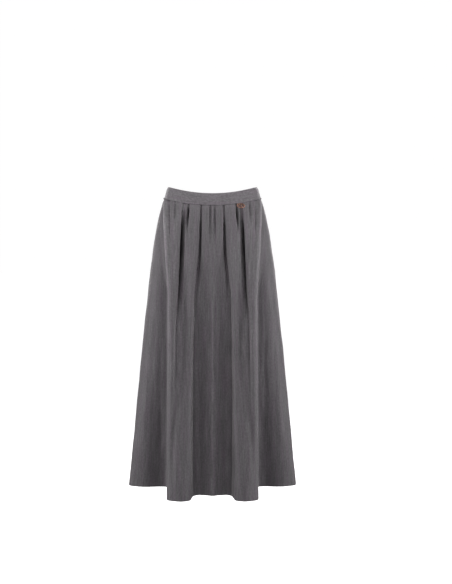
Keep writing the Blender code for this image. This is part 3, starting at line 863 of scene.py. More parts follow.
@dataclass
class SkirtForm:
    """The outer face of the gathered cloth, read by its fall and its place across the cloth.

    A fall is 0 at the waistband seam and 1 at the hem. A place is the way round from the centre front,
    measured along the lines' own ends at the hem and positive towards +X.
    """

    band: WaistbandForm
    side_length: float = 0.8916
    # How far the gathers swell out below the seam, and the fall at which they swell most.
    puff: float = 0.0030
    puff_fall: float = 0.045
    # How far the middle of the back's hem hangs towards +X, and how much farther out its +X side stands.
    back_drift: float = 0.010
    back_skew: float = 0.035
    # The cloth's small waves: how high all of them stand, as how many times one of them, how much they
    # sway, how far below the seam they are in full, and how far they follow the skirt's depth.
    ripple: float = 0.00055
    ripple_sum: float = 2.2
    sway: float = 1.3
    ripple_down: float = 0.06
    depth_share: float = 0.4
    # The puckers of the gathering thread, in the same way, and how far down they die away.
    pucker: float = 0.00045
    pucker_sum: float = 1.7
    pucker_down: float = 0.016
    # A tuck leans once it has fallen this far, and this power gives it steep walls and a round bottom.
    lean_fall: float = 0.05
    tuck_power: float = 0.55
    # Painted shade deep in a tuck: the depth where it starts, over how much more depth it grows, and how
    # dark it gets in full.
    painted_shade_from: float = 0.007
    painted_shade_over: float = 0.018
    painted_shade: float = 0.75
    # How many columns cross the wider side of a tuck, and half of a fold's edge.
    tuck_columns: float = 12.0
    edge_columns: float = 8.0
    # The rings on which columns are measured, how near a seam they are close, and how close.
    measured_falls: tuple[float, ...] = (0.03, 0.2, 0.45, 0.75, 1.0)
    seam_zone: float = 0.004
    seam_column: float = 0.0009
    seed: int = 11
    x: np.ndarray = field(init=False)
    out: np.ndarray = field(init=False)
    cloth: np.ndarray = field(init=False)
    side: float = field(init=False)
    back: float = field(init=False)
    tucks: list[tuple[float, Tuck, Half]] = field(init=False)

    def __post_init__(self) -> None:
        """Works out the cloth's places from the tables."""
        lines = FRONT_LINES + (SIDE_LINE,) + BACK_LINES
        facing = np.array([Half.FRONT.value] * (len(FRONT_LINES) + 1) + [Half.BACK.value] * len(BACK_LINES))
        self.x = np.array([[line.x_seam, line.x_hip, line.x_thigh, line.x_hem] for line in lines])
        width = self.band.half_width + self.band.flare_side
        depth = self.band.half_depth + self.band.flare_front
        out_seam = depth * np.sqrt(np.clip(1.0 - (self.x[:, 0] / width) ** 2, 0.0, 1.0))
        out = np.array([[line.out_hip, line.out_thigh, line.out_hem] for line in lines])
        self.out = np.column_stack([out_seam, out]) * facing[:, None]
        steps = np.hypot(np.diff(self.x[:, -1]), np.diff(self.out[:, -1]))
        self.cloth = np.concatenate([[0.0], np.cumsum(steps)])
        self.side = float(self.cloth[len(FRONT_LINES)])
        self.back = float(self.cloth[-1])
        self.tucks = self.place_tucks()

    def place_tucks(self) -> list[tuple[float, Tuck, Half]]:
        """Finds the place of each tuck across the cloth.

        Returns:
            For each tuck: its place, its sizes and its half.
        """
        side = len(FRONT_LINES)
        placed = []
        for tuck in FRONT_TUCKS:
            place = np.interp(tuck.x_seam, self.x[: side + 1, 0], self.cloth[: side + 1])
            placed.append((float(place), tuck, Half.FRONT))
        for tuck in BACK_TUCKS:
            place = np.interp(tuck.x_seam, self.x[side:, 0][::-1], self.cloth[side:][::-1])
            placed.append((float(place), tuck, Half.BACK))
        return placed

    def plain_ring(self, fall: float, cloth: np.ndarray) -> tuple[np.ndarray, np.ndarray]:
        """One ring of the +X half before its tucks.

        Args:
            fall: the ring's fall.
            cloth: places of the +X half.

        Returns:
            x, and the distance out towards the front.
        """
        at_fall = track(fall, LEVELS, np.concatenate([self.x, self.out]).T)[0]
        x, out = np.split(at_fall, 2)
        place = np.concatenate([[-self.cloth[1]], self.cloth, [2.0 * self.back - self.cloth[-2]]])
        x = np.concatenate([[-x[1]], x, [-x[-2]]])
        out = np.concatenate([[out[1]], out, [out[-2]]])
        both = track(cloth, place, np.column_stack([x, out]))
        return both[:, 0], both[:, 1]

    def tuck_depth(self, fall: float, cloth: np.ndarray) -> tuple[np.ndarray, np.ndarray]:
        """How far the tucks pull the cloth in.

        Args:
            fall: the ring's fall.
            cloth: places of the +X half.

        Returns:
            How far each place is pulled inwards, and how far round towards the back.
        """
        depth, shift = np.zeros(len(cloth)), np.zeros(len(cloth))
        for place, tuck, half in self.tucks:
            if fall < tuck.deepest:
                held = smooth_step(fall / tuck.deepest)
                pull = tuck.seam_depth + (tuck.depth - tuck.seam_depth) * held
            else:
                pull = tuck.depth * (1.0 - smooth_step((fall - tuck.deepest) / (tuck.end - tuck.deepest)))
            towards_side = (cloth - place) * half.value
            width = np.where(towards_side > 0.0, tuck.side_width, tuck.centre_width)
            share = np.clip(np.abs(towards_side) / width, 0.0, 1.0)
            dip = pull * (0.5 * (1.0 + np.cos(math.pi * share))) ** self.tuck_power
            depth += dip
            shift += dip * tuck.lean * half.value * float(smooth_step(fall / self.lean_fall))
        return depth, shift

    def crease_depth(self, fall: float, x: np.ndarray, half: np.ndarray) -> np.ndarray:
        """How far the soft creases pull the cloth in.

        Args:
            fall: the ring's fall.
            x: the place of each point, negative on the -X side.
            half: the value of each point's half.

        Returns:
            How far each place is pulled inwards.
        """
        depth = np.zeros(len(x))
        # A crease that starts at the seam shows there already, because its rise counts from a little above.
        lead = 0.004
        for creases, facing in ((FRONT_CREASES, Half.FRONT), (BACK_CREASES, Half.BACK)):
            on_half = half == facing.value
            for crease in creases:
                if not crease.top <= fall < crease.end:
                    continue
                if fall < crease.peak:
                    strength = smooth_step((fall - crease.top + lead) / (crease.peak - crease.top + lead))
                else:
                    strength = 1.0 - smooth_step((fall - crease.peak) / (crease.end - crease.peak))
                share = (fall - crease.top) / (crease.end - crease.top)
                middle = crease.x_top + (crease.x_end - crease.x_top) * share
                spread = 0.6 * crease.width
                bell = np.exp(-0.5 * ((np.abs(x) - middle) / spread) ** 2)
                depth += on_half * np.where(x < 0.0, crease.left, 1.0) * crease.depth * strength * bell
        return depth

    def edge_height(self, fall: float, cloth: np.ndarray) -> np.ndarray:
        """How far the crisp fold edges stand out.

        Args:
            fall: the ring's fall.
            cloth: places of the +X half.

        Returns:
            The height at each place.
        """
        height = np.zeros(len(cloth))
        for edge in FOLD_EDGES:
            if not edge.top < fall < edge.end:
                continue
            if fall < edge.peak:
                strength = smooth_step((fall - edge.top) / (edge.peak - edge.top))
            else:
                strength = 1.0 - smooth_step((fall - edge.peak) / (edge.end - edge.peak))
            number = line_number(edge)
            x, out = self.plain_ring(fall, cloth)
            edge_x, edge_out = self.plain_ring(fall, self.cloth[number : number + 1])
            away = np.hypot(x - edge_x, out - edge_out)
            spread = 0.5 * edge.width
            height += edge.proud * float(strength) * np.exp(-0.5 * (away / spread) ** 2)
        return height

    def painted_light(self, fall: float, cloth: np.ndarray) -> np.ndarray:
        """How much painted highlight the cloth has on a fold edge, and painted shade deep in a tuck.

        Args:
            fall: the ring's fall.
            cloth: places on the ring.

        Returns:
            1 at the strongest painted highlight on a fold edge, 0 on plain cloth, below 0 at painted shade
            in a tuck.
        """
        tallest = max(edge.proud for edge in FOLD_EDGES)
        # Painted highlight along each fold edge, stronger the prouder the edge stands.
        pale = np.clip(self.edge_height(fall, np.abs(cloth)) / tallest, 0.0, 1.0)
        # Painted shade deep in each tuck, darker the deeper the cloth lies.
        past = self.tuck_depth(fall, np.abs(cloth))[0] - self.painted_shade_from
        return pale - self.painted_shade * np.clip(past / self.painted_shade_over, 0.0, 1.0)

    def waves(self, across: np.ndarray, fall: float) -> np.ndarray:
        """The cloth's small uneven ripples and the puckers of the gathering thread.

        Args:
            across: metres round the skirt.
            fall: the ring's fall.

        Returns:
            How far each place stands out.
        """
        rng = np.random.default_rng(self.seed)
        full_turn = 2.0 * math.pi
        down = fall * self.side_length
        ripple = np.zeros(len(across))
        for wide, tall in RIPPLES:
            start, lean = rng.uniform(0.0, full_turn, 2)
            swaying = self.sway * math.sin(full_turn * down / tall + lean)
            ripple += np.sin(full_turn * across / wide + start + swaying) * self.ripple / self.ripple_sum
        pucker = np.zeros(len(across))
        for wide in PUCKERS:
            start = rng.uniform(0.0, full_turn)
            pucker += np.sin(full_turn * across / wide + start) * self.pucker / self.pucker_sum
        rippled = float(smooth_step(down / self.ripple_down))
        puckered = math.exp(-down / self.pucker_down)
        return ripple * rippled + pucker * puckered

    def ring(self, fall: float, cloth: np.ndarray) -> tuple[np.ndarray, np.ndarray]:
        """One ring of the outer face.

        Args:
            fall: the ring's fall.
            cloth: places on the ring.

        Returns:
            The points, and their level outward normals.
        """
        half = np.abs(cloth)
        x, out = self.plain_ring(fall, half)
        # The way along the ring is measured between two places this far to either side.
        reach = 0.0005
        x_before, out_before = self.plain_ring(fall, half - reach)
        x_after, out_after = self.plain_ring(fall, half + reach)
        across = np.column_stack([x_after - x_before, out_after - out_before])
        across /= np.linalg.norm(across, axis=1)[:, None]
        seam_x = self.plain_ring(0.0, half)[0] / (self.band.half_width + self.band.flare_side)
        puff = self.puff * (fall / self.puff_fall) * math.exp(1.0 - fall / self.puff_fall)
        on_front = np.where(half < self.side, Half.FRONT.value, Half.BACK.value)
        signed_x = np.copysign(1.0, cloth) * x
        tucked, shift = self.tuck_depth(fall, half)
        round_skirt = signed_x + self.depth_share * np.copysign(out, cloth)
        outwards = puff - tucked - self.crease_depth(fall, signed_x, on_front)
        outwards = outwards + self.waves(round_skirt, fall) + self.edge_height(fall, half)
        x = x - across[:, 1] * outwards + across[:, 0] * shift
        out = out + across[:, 0] * outwards + across[:, 1] * shift
        x = np.copysign(1.0, cloth) * x
        behind = out < 0.0
        half_width = float(track(fall, LEVELS, self.x[len(FRONT_LINES)])[0]) + puff
        middle = np.cos(0.5 * math.pi * np.clip(np.abs(x) / half_width, 0.0, 1.0))
        x = x + behind * self.back_drift * fall * middle
        out = out * (1.0 + behind * self.back_skew * fall * x / SIDE_LINE.x_hem)
        dip = np.where(half < self.side, self.band.front_dip, self.band.back_dip)
        top = -self.band.height - SEAM_GAP - dip * (1.0 - np.clip(seam_x, -1.0, 1.0) ** 2)
        top -= self.tuck_depth(0.0, half)[0] * self.band.flare_side / self.band.height
        z = top + (-self.side_length - top) * fall
        normal = np.column_stack([-across[:, 1] * np.copysign(1.0, cloth), -across[:, 0], np.zeros(len(x))])
        return np.column_stack([x, -out, z]), normal

    def columns(self, start: float, end: float, step: float, fine: float) -> np.ndarray:
        """Places across the cloth between two seams, closer over its tucks and edges and beside the seams.

        Args:
            start: the first place.
            end: the last place.
            step: the most that a column may be wide, on any ring.
            fine: the width of a column over a tuck.

        Returns:
            The places, rising.
        """
        dense = np.linspace(start, end, MEASURING_STEPS)
        need = np.zeros(len(dense) - 1)
        for fall in self.measured_falls:
            points = self.ring(fall, dense)[0]
            need = np.maximum(need, np.linalg.norm(np.diff(points, axis=0), axis=1) / step)
        # For each place that needs closer columns: how far to either side, and how wide they may be.
        close = [(seam, self.seam_zone, self.seam_column) for seam in (start, end)]
        for way in (-1.0, 1.0):
            for place, tuck, _ in self.tucks:
                widest = max(tuck.centre_width, tuck.side_width)
                close.append((way * place, widest, max(fine, widest / self.tuck_columns)))
            for edge in FOLD_EDGES:
                place = float(self.cloth[line_number(edge)])
                close.append((way * place, edge.width, max(fine, edge.width / self.edge_columns)))
        middle = 0.5 * (dense[1:] + dense[:-1])
        gap = dense[1] - dense[0]
        for place, reach, width in close:
            near = np.abs(middle - place) < reach
            need = np.where(near, np.maximum(need, gap / width), need)
        total = np.concatenate([[0.0], np.cumsum(need)])
        return np.interp(np.linspace(0.0, total[-1], int(math.ceil(total[-1])) + 1), total, dense)


# ---- The cloth pieces ----


@dataclass
class ClothPiece:
    """A piece of cloth that stands for a solid, between two side edges."""

    name: str
    solid: str
    start: float
    end: float
    flat_size: tuple[float, float]

    def clothe(self, piece: bpy.types.Object, suiting: bpy.types.Material) -> None:
        """Gives the piece its cloth, attaches it to the skirt's body and hides the solid that it stands for.

        Args:
            piece: the finished piece.
            suiting: its cloth.
        """
        give_material(piece, suiting)
        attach(piece, "skirt")
        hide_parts(self.solid)


class HemEdge(NamedTuple):
    """The lower edge of a panel: its points, their normals, the way down, the roll and the flat places."""

    points: np.ndarray
    normals: np.ndarray
    down: np.ndarray
    roll: np.ndarray
    flat: np.ndarray


@dataclass
class ClothPanel(ClothPiece):
    """One panel of the skirt: a sheet that hangs from the seam in folds, with its hem turned up inside."""

    flat_area: float
    thickness: float = 0.0010
    column_step: float = 0.0054
    tuck_step: float = 0.0009
    # Rows are this far apart at the waistband, and this much farther from a certain way down.
    row_step: float = 0.0014
    row_growth: float = 0.0102
    full_growth_down: float = 0.18
    # Above the hem they come closer again, down to a last stretch with close rows.
    hem_row_step: float = 0.0018
    hem_row_growth: float = 0.22
    hem_stretch: float = 0.012
    hem_rows: int = 5
    hem_turn: float = 0.032
    hem_radius: float = 0.0014
    hem_steps: int = 6
    turn_rows: int = 7
    # Both side edges roll in towards their seam, and the top edge towards the waistband.
    seam_roll: float = 0.0009
    seam_roll_width: float = 0.0022
    ditch: float = 0.0002
    ditch_height: float = 0.0018
    # How deep the side edges are turned in, beside the zip and below it, and where that changes: from which
    # fall and over how much.
    flange: tuple[float, float] = (0.0006, 0.0050)
    flange_falls: tuple[float, float] = (0.24, 0.06)
    flange_columns: tuple[float, ...] = (0.3, 1.0)
    # The seam allowance that goes up behind the band: how high, and how far inside the face.
    allowance: tuple[tuple[float, float], ...] = ((0.0042, 0.0009), (0.0008, 0.0008))
    # Where the cloth's pattern is at the centre front.
    pattern_place: float = 1.0

    def falls(self, length: float) -> np.ndarray:
        """Where the rows lie: close below the seam, wider down the skirt and close again at the hem.

        Args:
            length: the skirt's length at its side.

        Returns:
            The rows' falls, rising from 0 to 1.
        """
        down, rows = 0.0, [0.0]
        last = length - self.hem_stretch
        while down < last:
            step = self.row_step + self.row_growth * float(smooth_step(down / self.full_growth_down))
            down += min(step, self.hem_row_step + self.hem_row_growth * (last - down))
            rows.append(down)
        falls = np.array(rows) * last / down / length
        return np.concatenate([falls, np.linspace(falls[-1], 1.0, self.hem_rows + 1)[1:]])

    def edge_roll(self, points: np.ndarray) -> np.ndarray:
        """How far each point rolls inwards with the nearer side edge.

        Args:
            points: the sheet's points, row by row.

        Returns:
            The roll of each point.
        """
        along = lengths_along(points)
        from_edge = np.minimum(along, along[:, -1:] - along)
        return self.seam_roll * np.exp(-0.5 * (from_edge / self.seam_roll_width) ** 2)

    def part_seams(self, points: np.ndarray) -> None:
        """Draws each side edge back by half of a seam's gap.

        Args:
            points: the sheet's points, row by row, which it changes.
        """
        for edge, neighbour in ((0, 1), (-1, -2)):
            inwards = points[:, neighbour] - points[:, edge]
            inwards /= np.linalg.norm(inwards, axis=1)[:, None]
            points[:, edge] += inwards * 0.5 * SEAM_GAP

    def flat_places(
        self, points: np.ndarray, places: np.ndarray, falls: np.ndarray, length: float
    ) -> np.ndarray:
        """Lays the cloth out flat, with its warp running down the folds as the gathers hold it.

        Args:
            points: the sheet's points, row by row.
            places: where the columns are across the cloth.
            falls: where the rows are.
            length: the skirt's length at its side.

        Returns:
            Each point's place on the flat cloth, in metres.
        """
        stretch = lengths_along(points[-1])[-1] / (places[-1] - places[0])
        across = np.broadcast_to((places * stretch)[None, :], points.shape[:2])
        down = np.broadcast_to(-falls[:, None] * length, across.shape)
        return np.stack([across + self.pattern_place, down], axis=2)

    def turn_hem_up(
        self, form: SkirtForm, places: np.ndarray, edge: HemEdge
    ) -> tuple[np.ndarray, np.ndarray]:
        """Rolls the cloth over at the lower edge and takes it up inside.

        Args:
            form: the outline that the skirt hangs in.
            places: where the columns are across the cloth.
            edge: the lower edge.

        Returns:
            The rows of the fold and of the cloth that is turned up, and their places on the flat cloth.
        """
        turned, turned_flat = [], []
        for angle in np.linspace(0.0, math.pi, self.hem_steps + 1)[1:]:
            inward = self.hem_radius * (1.0 - math.cos(angle))
            lower = self.hem_radius * math.sin(angle)
            turned.append(edge.points - edge.normals * inward + edge.down * (lower - self.hem_radius))
            turned_flat.append(edge.flat + [0.0, -self.hem_radius * angle])
        fold_flat = turned_flat[-1]
        inside = 2.0 * self.hem_radius + edge.roll
        for step in range(1, self.turn_rows + 1):
            up = self.hem_turn * step / self.turn_rows
            inner, inner_normal = form.ring(1.0 - up / form.side_length, places)
            turned.append(inner - inner_normal * inside[:, None])
            turned_flat.append(fold_flat + [0.0, -up])
        return np.array(turned), np.array(turned_flat)

    def build(self, form: SkirtForm) -> bpy.types.Object:
        """Makes the sheet with its wall.

        Args:
            form: the outline that it hangs in.

        Returns:
            The finished piece.
        """
        length = form.side_length
        places = form.columns(self.start, self.end, self.column_step, self.tuck_step)
        falls = self.falls(length)
        rings = [form.ring(float(fall), places) for fall in falls]
        points = np.array([ring[0] for ring in rings])
        normals = np.array([ring[1] for ring in rings])
        hem_down = points[-1] - points[-2]
        hem_down /= np.linalg.norm(hem_down, axis=1)[:, None]
        roll = self.edge_roll(points)
        ditch = self.ditch * np.exp(-(falls * length / self.ditch_height))[:, None]
        points = points - normals * (roll + ditch)[:, :, None]
        self.part_seams(points)
        flat = self.flat_places(points, places, falls, length)
        raised = [points[0] - normals[0] * inward + [0.0, 0.0, up] for up, inward in self.allowance]
        raised_flat = [flat[0] + [0.0, up] for up, _ in self.allowance]
        hem = HemEdge(points[-1].copy(), normals[-1], hem_down, roll[-1], flat[-1])
        turned, turned_flat = self.turn_hem_up(form, places, hem)
        self.part_seams(turned)
        points[-1] -= hem_down * self.hem_radius

        points = np.concatenate([raised, points, turned])
        flat = np.concatenate([raised_flat, flat, turned_flat])
        normals = np.concatenate([normals[:1]] * len(raised) + [normals] + [normals[-1:]] * len(turned))
        face = slice(len(raised), len(raised) + len(falls))
        # Painted highlight and painted shade, on the outer face only.
        painted_light = np.zeros(points.shape[:2])
        painted_light[face] = [form.painted_light(float(fall), places) for fall in falls]
        start, over = self.flange_falls
        shallow, deep = self.flange
        depth = np.full(len(points), shallow)
        depth[face] += (deep - shallow) * smooth_step((falls - start) / over)
        points, flat = self.turn_edges_in(points, flat, normals, depth)
        added = len(self.flange_columns)
        panel = sheet_grid(self.name, points, flat, np.pad(painted_light, ((0, 0), (added, added))))
        apply_modifier(panel, "SOLIDIFY", thickness=self.thickness, offset=-1.0, use_even_offset=False)
        panel.data.shade_smooth()
        return panel

    def turn_edges_in(
        self, points: np.ndarray, flat: np.ndarray, normals: np.ndarray, depth: np.ndarray
    ) -> tuple[np.ndarray, np.ndarray]:
        """Turns the seam allowances inwards along both side edges, where they meet the next panel's.

        Args:
            points: the sheet's points, row by row.
            flat: the same points on the flat cloth.
            normals: the outward normal at each point.
            depth: how deep each row's edges are turned in.

        Returns:
            The points and the flat places, with two more columns at each side edge.
        """
        for edge, neighbour, way in ((0, 1, 1.0), (-1, -2, -1.0)):
            inwards = -normals[:, edge] * depth[:, None]
            across = points[:, edge] - points[:, neighbour]
            across /= np.linalg.norm(across, axis=1)[:, None]
            meeting = points[:, edge] + across * 0.5 * SEAM_GAP
            along = np.stack([way * depth, np.zeros(len(depth))], axis=1)
            turned = [meeting + inwards * share for share in self.flange_columns]
            turned_flat = [flat[:, edge] - along * share for share in self.flange_columns]
            if edge == 0:
                points = np.concatenate([np.stack(turned[::-1], axis=1), points], axis=1)
                flat = np.concatenate([np.stack(turned_flat[::-1], axis=1), flat], axis=1)
            else:
                points = np.concatenate([points, np.stack(turned, axis=1)], axis=1)
                flat = np.concatenate([flat, np.stack(turned_flat, axis=1)], axis=1)
        return points, flat

    def dress(self, panel: bpy.types.Object, suiting: bpy.types.Material) -> None:
        self.clothe(panel, suiting)


@dataclass
class WaistbandPiece(ClothPiece):
    """A length of the waistband: one strip of cloth folded in two over its top edge."""

    columns: int
    total_thickness: float = 0.0024
    layer: float = 0.0008
    outer_rows: int = 16
    fold_rows: int = 6
    inner_rows: int = 9
    # The outer face swells over this share of its height.
    pillow: float = 0.0003
    pillow_share: float = 0.9
    # The top edge rolls inwards over a share of the height, less on its inner layer, and the lower edge
    # presses in a little.
    top_roll: float = 0.0016
    top_roll_share: float = 0.24
    inner_roll: float = 0.6
    pressed: float = 0.0003
    pressed_height: float = 0.0012
    # Both ends roll in towards their seam.
    end_roll: float = 0.0006
    end_roll_width: float = 0.0016
    # Small waves of the pressed cloth: for each, its height, its length over a full turn, and its start.
    waves: tuple[tuple[float, float, float], ...] = ((0.00018, 0.0042, 1.0), (0.00025, 0.0131, 0.0))
    # Where the cloth's pattern starts, and how far it moves on for each radian to the piece's own start.
    pattern_place: float = 3.0
    pattern_step: float = 0.1

    def profile(self, height: float) -> list[tuple[float, float]]:
        """Draws the folded strip in cross-section, from its outer lower edge over the top and down inside.

        Args:
            height: the waistband's height.

        Returns:
            For each row: its drop, 0 at the top edge and 1 at the seam, and how far inside it lies.
        """
        radius = 0.5 * self.total_thickness
        top = radius / height

        def rolled(drop: float) -> float:
            """How far the top edge rolls inwards at a drop."""
            return self.top_roll * float(smooth_step(1.0 - drop / self.top_roll_share)) ** 1.5

        profile = []
        for drop in np.linspace(1.0, top, self.outer_rows + 1):
            swell = self.pillow * math.sin(math.pi * min(1.0, (1.0 - drop) / self.pillow_share))
            pressed = self.pressed * math.exp(-(1.0 - drop) * height / self.pressed_height)
            profile.append((float(drop), rolled(drop) + pressed - swell))
        top_inward = profile[-1][1]
        for turn in np.linspace(0.0, math.pi, self.fold_rows + 1)[1:-1]:
            profile.append((top * (1.0 - math.sin(turn)), top_inward + radius * (1.0 - math.cos(turn))))
        for drop in np.linspace(top, 1.0, self.inner_rows + 1):
            profile.append((float(drop), 2.0 * radius + rolled(drop) * self.inner_roll))
        return profile

    def build(self, band: WaistbandForm) -> bpy.types.Object:
        """Makes the folded strip with its wall.

        Args:
            band: the outline that it follows.

        Returns:
            The finished piece.
        """
        angle = np.linspace(self.start, self.end, self.columns)
        along = lengths_along(band.outline(angle, np.ones(len(angle))))
        around = along + self.pattern_place + self.start * self.pattern_step
        near_end = np.minimum(along, along[-1] - along)
        end_roll = self.end_roll * np.exp(-0.5 * (near_end / self.end_roll_width) ** 2)
        wavy = sum(tall * np.sin(around / long + start) for tall, long, start in self.waves)
        profile = self.profile(band.height)
        top_inward = profile[self.outer_rows][1]
        rows, flats = [], []
        travelled, previous = 0.0, profile[0]
        for drop, inward in profile:
            travelled += math.hypot((drop - previous[0]) * band.height, inward - previous[1])
            previous = (drop, inward)
            face = -1.0 if travelled > band.height else 1.0
            depth = inward + face * end_roll - wavy * math.sin(math.pi * min(1.0, max(0.0, drop)))
            # The inner layer's ends meet the next piece's, so that no light comes through the seam.
            inside = float(smooth_step(4.0 * (inward - top_inward) / self.total_thickness))
            reach = inside * 0.5 * SEAM_GAP / band.half_depth
            met = angle + reach * np.linspace(-1.0, 1.0, len(angle)) ** 9
            share = np.full(len(angle), drop)
            rows.append(band.outline(met, share) - band.outwards(met, share) * depth[:, None])
            flats.append(np.stack([around, np.full(len(angle), travelled)], axis=1))
        # Rows run from the inner lower edge over the top and down the outer face, so faces point outwards.
        piece = sheet_grid(self.name, np.array(rows)[::-1], np.array(flats)[::-1])
        apply_modifier(piece, "SOLIDIFY", thickness=self.layer, offset=-1.0, use_even_offset=False)
        piece.data.shade_smooth()
        return piece

    def dress(self, piece: bpy.types.Object, suiting: bpy.types.Material) -> None:
        self.clothe(piece, suiting)


@dataclass
class EdgeStitching:
    """The row of lockstitches that holds the waistband down just above its seam."""

    name: str = "waistband_stitching"
    stitch_length: float = 0.0024
    pitch: float = 0.0033
    thread: float = 0.00042
    above_seam: float = 0.0019
    proud: float = -0.00012
    # A stitch is thinner by this share at its ends, which dip into the cloth by this share of the thread.
    thinner: float = 0.35
    dip: float = 0.9

    def build_stitch(self) -> tuple[np.ndarray, list[list[int]]]:
        """Makes one stitch.

        Returns:
            Its points, with the thread along Z and the cloth towards +Y, and its faces.
        """
        stitch = add_primitive(
            bpy.ops.mesh.primitive_cylinder_add,
            vertices=6,
            radius=0.5 * self.thread,
            depth=self.stitch_length,
            end_fill_type="TRIFAN",
        )
        edit_whole(stitch, bpy.ops.mesh.subdivide, number_cuts=1)
        for vert in stitch.data.vertices:
            end = abs(vert.co.z) / (0.5 * self.stitch_length)
            vert.co.x *= 1.0 - self.thinner * end**2
            vert.co.y = vert.co.y * (1.0 - self.thinner * end**2) + self.dip * self.thread * end**3
        return take_mesh(stitch)

    def build(self, band: WaistbandForm) -> bpy.types.Object:
        """Copies the stitch round the band.

        Args:
            band: the outline that the row follows.

        Returns:
            All the stitches as one object.
        """
        stitch, faces = self.build_stitch()
        drop = 1.0 - self.above_seam / band.height
        angles = np.linspace(0.0, 2.0 * math.pi, MEASURING_STEPS + 1)
        along = lengths_along(band.outline(angles, np.full(len(angles), drop)))
        count = int(along[-1] / self.pitch)
        at = np.interp((np.arange(count) + 0.5) * along[-1] / count, along, angles)
        share = np.full(count, drop)
        centres = band.outline(at, share)
        outwards = band.outwards(at, share)
        # The thread's way is measured to a point this many radians on.
        ahead = band.outline(at + 0.002, share) - centres
        ahead /= np.linalg.norm(ahead, axis=1)[:, None]
        copies = []
        for centre, out, forward, up in zip(centres, outwards, ahead, np.cross(outwards, ahead)):
            turned = stitch[:, :1] * up - stitch[:, 1:2] * out + stitch[:, 2:] * forward
            copies.append(centre + out * self.proud + turned)
        return repeated(self.name, faces, copies)

    def dress(self, row: bpy.types.Object, thread: bpy.types.Material) -> None:
        """Gives the row its thread.

        Args:
            row: all the stitches.
            thread: what they are sewn with.
        """
        give_material(row, thread)
        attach(row, "skirt")


# ---- The metal pieces ----


@dataclass
class Ornament:
    """A plain oval frame filled with a lattice of fine wires, sewn on under the waistband."""

    width: float = 0.0262
    height: float = 0.0144
    rim: float = 0.0018
    wire: float = 0.0010
    pitch: float = 0.0074
    lattice_angle: float = math.radians(52)
    # Wires on each side of the middle one, and how far the lattice's two layers lie from its middle.
    bars: int = 1
    crossing: float = 0.0001
    turn: float = math.radians(24)
    lean: float = math.radians(14)
    sharp_degrees: float = 50.0

    def build_rim(self) -> bpy.types.Object:
        """Makes the frame: a ring that is drawn out sideways to an oval.

        Returns:
            The frame, upright and with its middle at the origin.
        """
        ring = 0.5 * (self.height - self.rim)
        rim = add_primitive(
            bpy.ops.mesh.primitive_torus_add,
            major_radius=ring,
            minor_radius=0.5 * self.rim,
            major_segments=72,
            minor_segments=14,
            rotation=(math.radians(90), 0.0, 0.0),
        )
        for vert in rim.data.vertices:
            share = vert.co.x / math.hypot(vert.co.x, vert.co.y)
            vert.co.x += 0.5 * (self.width - self.height) * share
        return rim

    def build_wire(self, slope: Vector, start: Vector) -> bpy.types.Object:
        """Makes one straight wire of the lattice, from one side of the frame to the other.

        Args:
            slope: the way that it runs, 1 long.
            start: where it crosses the frame's middle line.

        Returns:
            The wire.
        """
        a, b = 0.5 * (self.width - self.rim), 0.5 * (self.height - self.rim)
        square = (slope.x / a) ** 2 + (slope.z / b) ** 2
        to_middle = -start.x * slope.x / a**2 / square
        half = math.sqrt(to_middle**2 - ((start.x / a) ** 2 - 1.0) / square)
        return add_primitive(
            bpy.ops.mesh.primitive_cylinder_add,
            vertices=12,
            radius=0.5 * self.wire,
            depth=2.0 * half,
            location=start + slope * to_middle,
            rotation=slope.to_track_quat("Z", "Y").to_euler(),
        )

    def build(self) -> bpy.types.Object:
        """Makes the frame and its wires, and puts them where the solid is.

        Returns:
            The finished ornament.
        """
        parts = [self.build_rim()]
        for way in (1.0, -1.0):
            slope = Vector((math.cos(self.lattice_angle), 0.0, -way * math.sin(self.lattice_angle)))
            for number in range(-self.bars, self.bars + 1):
                start = Vector((number * self.pitch, -way * self.crossing, 0.0))
                parts.append(self.build_wire(slope, start))
        for part in parts:
            settle(part)
        ornament = join("ornament_lattice", parts)
        low_corner, high_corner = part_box("ornament")
        ornament.location = (low_corner + high_corner) / 2.0
        ornament.rotation_euler = (-self.lean, 0.0, self.turn)
        settle(ornament)
        smooth_but_sharp(ornament, self.sharp_degrees)
        return ornament

    def dress(self, ornament: bpy.types.Object, gold: bpy.types.Material) -> None:
        """Gives the ornament its plate and lets it stand for its solid.

        Args:
            ornament: the finished ornament.
            gold: its plate.
        """
        give_material(ornament, gold)
        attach(ornament, "skirt")
        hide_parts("ornament")


